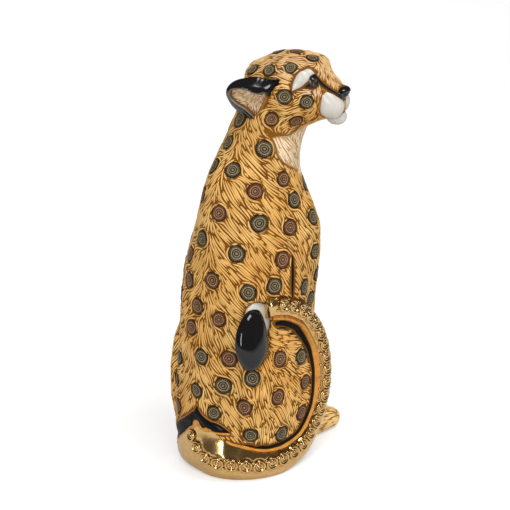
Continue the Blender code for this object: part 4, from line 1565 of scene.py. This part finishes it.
# ---- coat
@dataclass
class Coat:
    """Engraved hair: ridges of glaze that follow the lie of the coat and close round the spots."""

    pitch: float = 1.40
    width: float = 1.64
    height: float = 0.42
    step: float = 1.25
    longest: float = 40.0
    shortest: float = 13.0
    least: float = 1.6
    start_gap: float = 0.90
    pass_gap: float = 0.78
    sharpest: float = 0.55
    seed: int = 11

    def trace(self, skin: Surface, middles: Array, lie: Array, scale: Array,
              free: Array) -> list[tuple[Array, Array, float]]:
        """Grow evenly spaced lines of hair over the free skin.

        Args:
            skin: the skin's surface.
            middles: shared-frame places of its faces.
            lie: direction of the hair on each face.
            scale: size of the relief on each face.
            free: whether hair may grow on each face.

        Returns:
            For each ridge its points, face numbers and scale.
        """
        draw = np.random.default_rng(self.seed)
        cell = self.pitch * 1.05
        taken: dict[tuple[int, int, int], list[tuple[float, float, float]]] = {}
        flow, size, allowed = lie.tolist(), scale.tolist(), free.tolist()
        nearest = skin.tree.find_nearest

        def crowded(p: Vector, reach: float) -> bool:
            """Whether an earlier ridge passes within reach."""
            x, y, z = p
            ci, cj, ck = int(x // cell), int(y // cell), int(z // cell)
            limit = reach * reach
            return any((a - x) ** 2 + (b - y) ** 2 + (c - z) ** 2 < limit
                       for i in (ci - 1, ci, ci + 1) for j in (cj - 1, cj, cj + 1)
                       for k in (ck - 1, ck, ck + 1) for a, b, c in taken.get((i, j, k), ()))

        def walk(start: Vector, face: int, sign: float, limit: float) -> list[tuple[Vector, int]]:
            """Steps one way from a seed until the ridge is stopped."""
            out, p, f, last = [], start, face, Vector(flow[face]) * sign
            for _ in range(int(limit / self.step)):
                ahead = Vector(flow[f]) * sign
                if ahead.dot(last) < self.sharpest:
                    break
                last = ahead
                q, _, f, _ = nearest(p + ahead * self.step)
                if not allowed[f] or crowded(q, self.pitch * self.pass_gap * size[f]):
                    break
                out.append((q, f))
                p = q
            return out

        ridges = []
        order = draw.permutation(np.flatnonzero(free))
        lengths = draw.uniform(self.shortest, self.longest, len(order)) / 2
        for face, half in zip(order.tolist(), lengths.tolist()):
            start = Vector(middles[face])
            local = size[face]
            if crowded(start, self.pitch * self.start_gap * local):
                continue
            back = walk(start, face, -1.0, half * local)
            fore = walk(start, face, 1.0, half * local)
            line = back[::-1] + [(start, face)] + fore
            if len(line) * self.step < self.least:
                continue
            for p, _ in line:
                key = (int(p.x // cell), int(p.y // cell), int(p.z // cell))
                taken.setdefault(key, []).append((p.x, p.y, p.z))
            faces = np.array([f for _, f in line])
            ridges.append((np.array([p[:] for p, _ in line]), faces, local))
        return ridges

    def mesh(self, name: str, ridges: Sequence[tuple[Array, Array, float]], normals: Array,
             zones: Zones, spots: Spots | None, uv: Array) -> Piece:
        """Make the ridges of one part of the body as a single mesh.

        Args:
            name: the object's name.
            ridges: points, faces and scale of each ridge.
            normals: skin face normals.
            zones: the hair zones, for colour.
            spots: the spots, for the dark brushed edge round them.
            uv: unwrap place of each skin face.

        Returns:
            The coat piece.
        """
        draw = np.random.default_rng(self.seed + 1)
        section = np.array(((-0.5, -0.35), (-0.36, 0.58), (0.0, 1.0), (0.36, 0.58), (0.5, -0.35)))
        sides = len(section)
        places, faces, spread, strand, level = [], [], [], [], []
        start = 0
        for line, index, local in ridges:
            path = line.copy()
            if len(path) > 4:
                path[1:-1] = (path[:-2] + 2 * path[1:-1] + path[2:]) / 4
            normal = normals[index]
            normal[1:-1] = normal[:-2] + normal[1:-1] + normal[2:]
            normal = unit(normal)
            ahead = unit(np.gradient(path, axis=0))
            side = unit(np.cross(normal, ahead))
            share = np.linspace(0, 1, len(path))
            full = np.clip(np.minimum(share * 4.0 + 0.35, (1 - share) * 2.6 + 0.22), 0, 1)
            width = self.width * local * full * draw.uniform(0.88, 1.1)
            height = self.height * (0.35 + 0.65 * full) * (0.5 + 0.5 * local) * draw.uniform(0.8, 1.15)
            ring = path[:, None] + side[:, None] * (width[:, None] * section[:, 0])[:, :, None] \
                + normal[:, None] * (height[:, None] * section[:, 1])[:, :, None]
            ends = np.stack([path[0] - ahead[0] * 0.45 - normal[0] * 0.12,
                             path[-1] + ahead[-1] * 0.6 - normal[-1] * 0.12])
            places.append(np.concatenate([ring.reshape(-1, 3), ends]))
            count = len(path)
            first, tail = start + count * sides, start + (count - 1) * sides
            faces += band_faces(start, count, sides)
            faces += [(start + (j + 1) % sides, start + j, first) for j in range(sides)]
            faces += [(tail + j, tail + (j + 1) % sides, first + 1) for j in range(sides)]
            root = uv[index[0]]
            reach = np.repeat(np.linspace(-0.5, 0.5, count), sides)
            local_uv = np.stack([np.tile(section[:, 0], count), reach], axis=1)
            spread.append(root + np.concatenate([local_uv, ((0, -0.5), (0, 0.5))]) * 0.003)
            strand.append(np.full(count * sides + 2, draw.random()))
            # Level across each ridge for its colour: feet at 0 painted dark, crest at 1 painted pale;
            # partly pooled glaze, partly painted shade and highlight.
            level.append(np.concatenate([np.tile((0.0, 0.60, 1.0, 0.60, 0.0), count), (0.1, 0.1)]))
            start += count * sides + 2
        points = np.vstack(places)
        obj = joined_mesh(name, points, faces)
        paint(obj, self._tones(points - ORIGIN, np.concatenate(strand), np.concatenate(level),
                               zones, spots))
        lay_unwrap(obj, np.vstack(spread))
        return obj

    @staticmethod
    def _tones(points: Array, strand: Array, level: Array, zones: Zones,
               spots: Spots | None) -> Array:
        """Colours of the ridges: pale crests and dark feet, partly pooled glaze and partly painted
        highlight and shade; dark brushed edges by the spots.
        """
        if spots is None:
            tone = Tone.CREAM.rgb * (0.75 + 0.35 * strand[:, None])
            # Ear hair: feet in shaded cream and crests paler, partly pooled glaze and partly painted
            # shade and highlight.
            return blend_tones(Tone.CREAM_SHADE.rgb, tone, smoothstep(0.0, 0.85, level))
        tone = zones.coat_tone(points, strand)
        deep = blend_tones(Tone.GROOVE.rgb, Tone.CREAM_SHADE.rgb, zones.throat_share(points))
        deep = blend_tones(deep, Tone.OCHRE.rgb * 0.75, 0.7 * zones.paw_share(points))
        # Feet in the groove colour and crests paler: partly pooled glaze, partly painted shade and
        # highlight.
        tone = blend_tones(deep, tone, smoothstep(0.0, 0.85, level))
        which, away = spots.nearness(points)
        below = np.clip(0.5 - (points[:, 2] - spots.centres[which][:, 2]) / spots.radii[which] / 2, 0, 1)
        brushed = (1 - smoothstep(1.02, 1.10 + 0.22 * below, away)) * 0.9
        tone = blend_tones(tone, spots.dark(which) * 1.5, brushed)
        return blend_tones(tone, Tone.BLACK.rgb, zones.shadow_share(points, strand))


# ---- studio
@dataclass
class Studio:
    """Pale sweep, soft lights and the camera."""

    target: Triple = (-1.62, 7.7, 153)
    camera: Triple = (-697.3, 780.3, 531.4)
    lens: float = 110.0
    # name, place, height aimed at, width and height, power, whether the glaze mirrors it
    lights: tuple[tuple, ...] = (
        ("soft_sky", (-2.2, 2.4, 3.8), 0.15, (3.6, 3.6), 110, False),
        ("soft_side", (-1.3, -0.7, 0.7), 0.15, (0.9, 0.9), 4, False),
        ("soft_front", (1.9, -1.9, 1.7), 0.15, (1.8, 1.8), 16, False),
        ("window", (-0.55, 1.25, 0.62), 0.14, (0.17, 0.78), 5.6, True),
        ("top_box", (-0.5, -0.1, 1.25), 0.15, (0.4, 0.4), 4.5, True))

    def build(self) -> None:
        """Set the floor, world, lights and camera."""
        self._floor()
        self._world()
        for name, place, height, size, power, mirrored in self.lights:
            self._light(name, place, height, size, power).visible_glossy = mirrored
        self._camera()
        bpy.context.scene.view_settings.view_transform = "Standard"

    @staticmethod
    def _floor() -> None:
        """A wide pale floor."""
        bpy.ops.mesh.primitive_plane_add(size=14.0, location=(0, 0, -0.0002))
        floor = bpy.context.object
        floor.name = "studio_floor"
        mat = bpy.data.materials.new("studio_paper")
        mat.use_nodes = True
        tree = mat.node_tree
        seen = tree.nodes["Principled BSDF"]
        set_inputs(seen, {"Base Color": (0.66, 0.66, 0.66, 1), "Roughness": 0.9,
                          "Specular IOR Level": 0.0, "Emission Color": (1, 1, 1, 1),
                          "Emission Strength": 0.40})
        lighting = add_node(tree, "ShaderNodeBsdfDiffuse", {"Color": (0.68, 0.68, 0.68, 1)})
        mix = mix_by_ray(tree, "Is Camera Ray", lighting, seen)
        join(tree, (mix, 0, tree.nodes["Material Output"], "Surface"))
        floor.data.materials.append(mat)

    @staticmethod
    def _world() -> None:
        """White to the eye, a soft sky for the glaze, dark in reflections."""
        world = bpy.data.worlds.new("studio")
        bpy.context.scene.world = world
        world.use_nodes = True
        tree = world.node_tree
        room = tree.nodes["Background"]
        set_inputs(room, {"Color": (1, 1, 1, 1), "Strength": 0.46})
        dark = add_node(tree, "ShaderNodeBackground", {"Color": (0.10, 0.092, 0.085, 1)})
        white = add_node(tree, "ShaderNodeBackground", {"Color": (1, 1, 1, 1)})
        mirror = mix_by_ray(tree, "Is Glossy Ray", room, dark)
        seen = mix_by_ray(tree, "Is Camera Ray", mirror, white)
        join(tree, (seen, 0, tree.nodes["World Output"], "Surface"))

    @staticmethod
    def _light(name: str, place: Triple, height: float, size: Pair,
               power: float) -> Piece:
        """One soft rectangular light, aimed at a height over the middle of the floor."""
        data = bpy.data.lights.new(name, "AREA")
        data.shape = "RECTANGLE"
        data.size, data.size_y = size
        data.energy = power
        lamp = linked(name, data)
        aim(lamp, Vector(place), Vector((0.0, 0.0, height)))
        return lamp

    def _camera(self) -> None:
        """The camera, a little above the figure and behind its right side."""
        data = bpy.data.cameras.new("studio_camera")
        data.lens = self.lens
        data.sensor_width = 36.0
        data.clip_start, data.clip_end = 0.01, 60.0
        cam = linked("studio_camera", data)
        aim(cam, Vector(self.camera) * MM, Vector(self.target) * MM)
        bpy.context.scene.camera = cam


# ---- assembly
@dataclass
class Figurine:
    """The whole figure."""

    skin: Skin = field(default_factory=Skin)
    tail: Tail = field(default_factory=Tail)
    face: Face = field(default_factory=Face)
    zones: Zones = field(default_factory=Zones)
    spots: Spots = field(default_factory=Spots)
    coat: Coat = field(default_factory=Coat)
    smooth_parts: list[Piece] = field(default_factory=list)
    # along, right, up of the head
    jaw: Places = ((-21, 22, -22), (-11, 20.5, -26), (4.4, 18, -23), (18, 14, -15.7))
    ear_root: Places = ((-14.6, 27.5, 3), (-17.8, 26.5, -4), (-20.4, 25.5, -10), (-21, 24, -17.5))
    # in the drawing
    throat: Places = (
        (-17.6, 1.6, 247.7), (-22.7, -1, 239), (-25.3, -2.2, 229.3), (-27.3, -8.3, 223.3),
        (-26.2, -21.4, 215.8))
    elbow_slit: Places = (
        (-40.9, 0.4, 163.5), (-42, 1.6, 156.5), (-43, 2.6, 149), (-43.5, 3.2, 140), (-43.9, 3.5, 132.5))
    # the chevron's edges: two wings each, meeting in a cusp on the spine
    crest: tuple[Places, ...] = (
        ((36, 34, 14), (27.4, 48.8, 30.1), (17.3, 54.2, 38.4), (11.1, 55.9, 43.1), (5.1, 56.7, 48.2),
         (1.6, 56.7, 51.6), (-0.5, 56.2, 56.4)),
        ((-0.5, 56.2, 56.4), (-2.4, 56.5, 52.7), (-5.9, 56.3, 49.4), (-10.4, 54.5, 46.4),
         (-16.4, 52.9, 45.2), (-20.8, 51.1, 43.2), (-25.8, 48.4, 39.2)))
    foot: tuple[Places, ...] = (
        ((33, 41, 7), (27, 47.6, 17), (20.1, 52.3, 25.6), (11.7, 55.4, 34.2), (4.6, 57.3, 38.4),
         (0.4, 57, 41)),
        ((0.4, 57, 41), (-2.7, 57, 38.8), (-7.6, 56.9, 38), (-13.1, 54.8, 38.4), (-20.1, 53, 39.2),
         (-25.8, 48.4, 39.2)))
    # station along the tail, width of the black crescent beside it
    crescent_width: tuple[Pair, ...] = (
        (4.9, 0.8), (5.6, 3.2), (7.5, 3.8), (9, 4.2), (12, 4.5), (16, 4.4))

    def build(self) -> None:
        """Make every piece in order."""
        self.skin.build()
        skin = self.skin.obj.data
        move_vertices(skin, (self.tail.sink(coordinates(skin) / MM - ORIGIN) + ORIGIN) * MM)
        self.bed = Surface(self.skin.obj)
        self._tail_parts()
        self._face_parts()
        self._ears()
        self._bands()
        self._hair()

    def _keep(self, obj: Piece, finish: Finish, *nodes: str) -> Piece:
        """Dress a smooth piece and keep the hair off it."""
        self.smooth_parts.append(obj)
        return dress(obj, finish, *nodes)

    def _tail_parts(self) -> None:
        """Gilt tail, bosses, drop and hood."""
        self.gilt = self._keep(self.tail.build_body(), GOLD_LUSTRE,
                               "tail_base", "tail_side", "tail_arch")
        self._keep(self.tail.build_tip(), BLACK_GLOSS, "tail_tip")
        self._keep(self.tail.build_band(), WHITE_GLOSS, "tail_tip_band")
        dress(self.tail.build_bosses(Surface(self.gilt)), GOLD_LUSTRE)
        self.tail.engrave(self.gilt)

    def _face_parts(self) -> None:
        """Pads, nose, chin, eyes, brows and tear lines."""
        face, bed = self.face, self.bed
        pads = [self._keep(face.whisker_pad(side), WHITE_GLOSS, sided("muzzle", side))
                for side in (1, -1)]
        self._keep(face.nose_pad(), BLACK_GLOSS, "nose")
        self._keep(face.chin_pad(), WHITE_GLOSS, "chin")
        over = Surface(self.skin.obj, *pads)
        for side in (1, -1):
            self._keep(face.eyeball(side), EYE_GLAZE, sided("eye", side))
            brow = face.leaf("brow_leaf", side, (face.brow_upper, face.brow_lower), bed,
                             rise=1.5, crown=3.2, across=14)
            self._keep(brow, WHITE_GLOSS, sided("brow_patch", side))
            self._tinted(face.brow_rim(side, bed), Tone.GROOVE)
            lid = face.leaf("eye_surround", side, (face.lid_upper, face.lid_lower), bed,
                            rise=0.55, crown=3.0, across=10)
            self._keep(lid, EYE_SURROUND)
            widths = lookup(face.tear_width, np.linspace(0, 1, 48))
            tear = face.thread("tear_line", side, face.tear, widths, bed, over, rise=0.7, crown=2.2)
            self._keep(tear, BLACK_GLOSS)
            rim = face.thread("pad_rim", side, face.pad_edge, spindle(1.9, 48), bed, rise=0.35)
            self._tinted(rim, Tone.AMBER_DEEP)
            mouth = face.thread("mouth_line", side, face.mouth, spindle(1.1, 30), bed, over,
                                rise=0.15)
            self._tinted(mouth, Tone.GROOVE)

    def _ears(self) -> None:
        """Both ears."""
        self.ear_leaves = (Ear(1), Ear(-1))
        self.ear_shells = [self._keep(ear.build(), EAR_GLAZE, sided("ear", ear.side))
                           for ear in self.ear_leaves]

    def _ear_hair(self, ear: Ear, shell: Piece) -> None:
        """Fine cream hair inside one ear."""
        middles, lie, free = ear.hair_faces(shell)
        normals = face_table(shell.data)[1]
        comb = Coat(pitch=1.0, width=0.95, height=0.26, step=0.7, longest=11.0, shortest=4.0,
                    least=1.4, seed=23)
        ridges = comb.trace(Surface(shell), middles, lie, np.ones(len(middles)), free)
        dress(comb.mesh(sided("ear_hair", ear.side), ridges, normals, self.zones, None,
                        np.zeros((len(middles), 2))), HAIR_GLAZE)

    def _bands(self) -> None:
        """Black crescent and amber rims beside the tail, root chevron, jaw, neck and elbow lines."""
        over = Surface(self.skin.obj, self.gilt)
        self._haunch_bands(over)
        self._chevron(over)
        for name, side in (("jaw_line", 1), ("jaw_line_left", -1)):
            self._line(name, head_curve(self.jaw, side, 36), 1.0, Tone.GROOVE)
        for side in (1, -1):
            self._line(sided("ear_root_line", side), head_curve(self.ear_root, side, 36), 1.9,
                       Tone.AMBER_DEEP)
        self._line("throat_line", spline(self.throat, 36), 1.0, Tone.GROOVE)
        slit = spline(self.elbow_slit, 40)
        for side in (1, -1):
            path = slit * (side, 1, 1)
            line = ribbon(sided("elbow_slit", side), path, spindle(3.5, 40, 0.12, 0.6), self.bed,
                          rise=0.1)
            self._keep(line.build(self.bed), BLACK_SATIN)

    def _haunch_bands(self, over: Surface) -> None:
        """Black crescent inside the tail's ring, and the amber rim between them."""
        tail, bed = self.tail, self.bed
        where = np.linspace(4.9, 16.0, 150)
        wide = lookup(self.crescent_width, where)
        crescent = Inlay("haunch_crescent", tail.inner_edge(where, 2.2),
                         tail.inner_edge(where, 2.2 + wide), rise=0.3, crown=4.0, across=6)
        self._keep(crescent.build(bed, over, tail.place(where)[2]), BLACK_SATIN)
        self.zones.crescent = bed.drop(crescent.edge_b[::2] + ORIGIN)[0] - ORIGIN
        where = np.linspace(4.2, 16.6, 160)
        amber = Inlay("haunch_rim", tail.inner_edge(where, -1.2), tail.inner_edge(where, 2.3),
                      rise=0.8, crown=2.0, across=6)
        self._tinted(amber.build(bed, over, tail.place(where)[2]), Tone.AMBER)

    def _tinted(self, obj: Piece, tone: Tone) -> None:
        """Keep a rim painted in one glaze colour."""
        self._keep(obj, RIM_GLAZE)
        paint(obj, tone.rgb)

    def _line(self, name: str, path: Array, width: float, tone: Tone) -> None:
        """A thin engraved line filled with dark glaze."""
        line = ribbon(name, path, spindle(width, len(path), 0.25), self.bed, rise=0.1)
        self._tinted(line.build(self.bed), tone)

    def _chevron(self, over: Surface) -> None:
        """The pointed black band over the tail root with its amber rims."""
        upper, lower = (np.concatenate([spline(wings[0], 34), spline(wings[1], 30)[1:]])
                        for wings in (self.crest, self.foot))
        band = Inlay("root_chevron", upper, lower, rise=0.9, crown=3.0, across=12)
        self._keep(band.build(self.bed, over), BLACK_BAND, "tail_root_band")
        rim = Inlay("chevron_rim_upper", upper + UP * 1.1, upper - UP * 0.1, rise=0.35, crown=2.0,
                    across=5)
        self._tinted(rim.build(self.bed), Tone.AMBER_DEEP)
        rim = Inlay("chevron_rim_lower", lower + UP * 0.2, lower - UP * 1.9, rise=0.6, crown=2.0,
                    across=6)
        self._tinted(rim.build(self.bed, over), Tone.AMBER)

    def _hair(self) -> None:
        """Spots, hair ridges and the skin's own colours."""
        bed, zones = self.bed, self.zones
        middles, normals = face_table(self.skin.obj.data)
        places = middles - ORIGIN
        clear = Surface(*self.smooth_parts).clearance(middles, normals)
        self.spots.scatter(bed, places, clear, zones)
        LOG.info("spots: %d", len(self.spots.centres))
        uv = self.skin.unwrap()
        which, away = self.spots.nearness(places)
        lie = self._parted(zones.lie(places, normals), places, normals, which, away)
        free = (clear > 0.55) & (away > 1.08) & (middles[:, 2] > 0.9)
        ridges = self.coat.trace(bed, middles, lie, zones.scale(places), free)
        LOG.info("hair ridges: %d", len(ridges))
        for name, group in self._shares(ridges).items():
            dress(self.coat.mesh(name, group, normals, zones, self.spots, uv), HAIR_GLAZE)
        for olive in (True, False):
            dress(self.spots.build(bed, olive, uv), SPOT_GLAZE)
        for ear, shell in zip(self.ear_leaves, self.ear_shells):
            self._ear_hair(ear, shell)
        self._paint_skin()
        dress(self.skin.obj, SKIN_GLAZE, *self.skin.nodes)

    def _parted(self, lie: Array, places: Array, normals: Array, which: Array, away: Array) -> Array:
        """Turn the hair aside round each spot."""
        radial = tangent(places - self.spots.centres[which], normals)
        share = 1 - smoothstep(1.1, 2.1, away)
        inward = (lie * radial).sum(axis=1)
        return unit(lie - radial * (inward * share)[:, None])

    def _shares(self, ridges: Sequence[tuple[Array, Array, float]]) -> dict[str, list]:
        """Divide the ridges between the pieces of the coat."""
        groups: dict[str, list] = {"coat_head": [], "coat_back": [], "coat_right": [],
                                   "coat_front": [], "coat_left": []}
        for ridge in ridges:
            middle = ridge[0][len(ridge[0]) // 2] - ORIGIN
            angle = math.degrees(math.atan2(middle[1] - 5.0, middle[0])) % 360
            side = ("coat_left", "coat_back", "coat_right", "coat_front")[int((angle + 45) % 360 // 90)]
            on_head = self.zones.head_share(middle[None])[0] > 0.5
            groups["coat_head" if on_head else side].append(ridge)
        return groups

    def _paint_skin(self) -> None:
        """Groove colour between the ridges, partly pooled glaze and partly painted shade, and the spots'
        colour under them.
        """
        places = coordinates(self.skin.obj.data) / MM - ORIGIN
        tone = blend_tones(Tone.GROOVE.rgb, Tone.CREAM_SHADE.rgb, self.zones.throat_share(places))
        tone = blend_tones(tone, Tone.OCHRE.rgb * 0.6, 0.7 * self.zones.paw_share(places))
        which, away = self.spots.nearness(places)
        paint(self.skin.obj, blend_tones(tone, self.spots.dark(which),
                                         1 - smoothstep(1.05, 1.2, away)))


def main() -> None:
    """Build the figure and the studio round it."""
    logging.basicConfig(level=logging.INFO, format="%(name)s: %(message)s")
    Studio().build()
    Figurine().build()


if __name__ == "__main__":
    main()
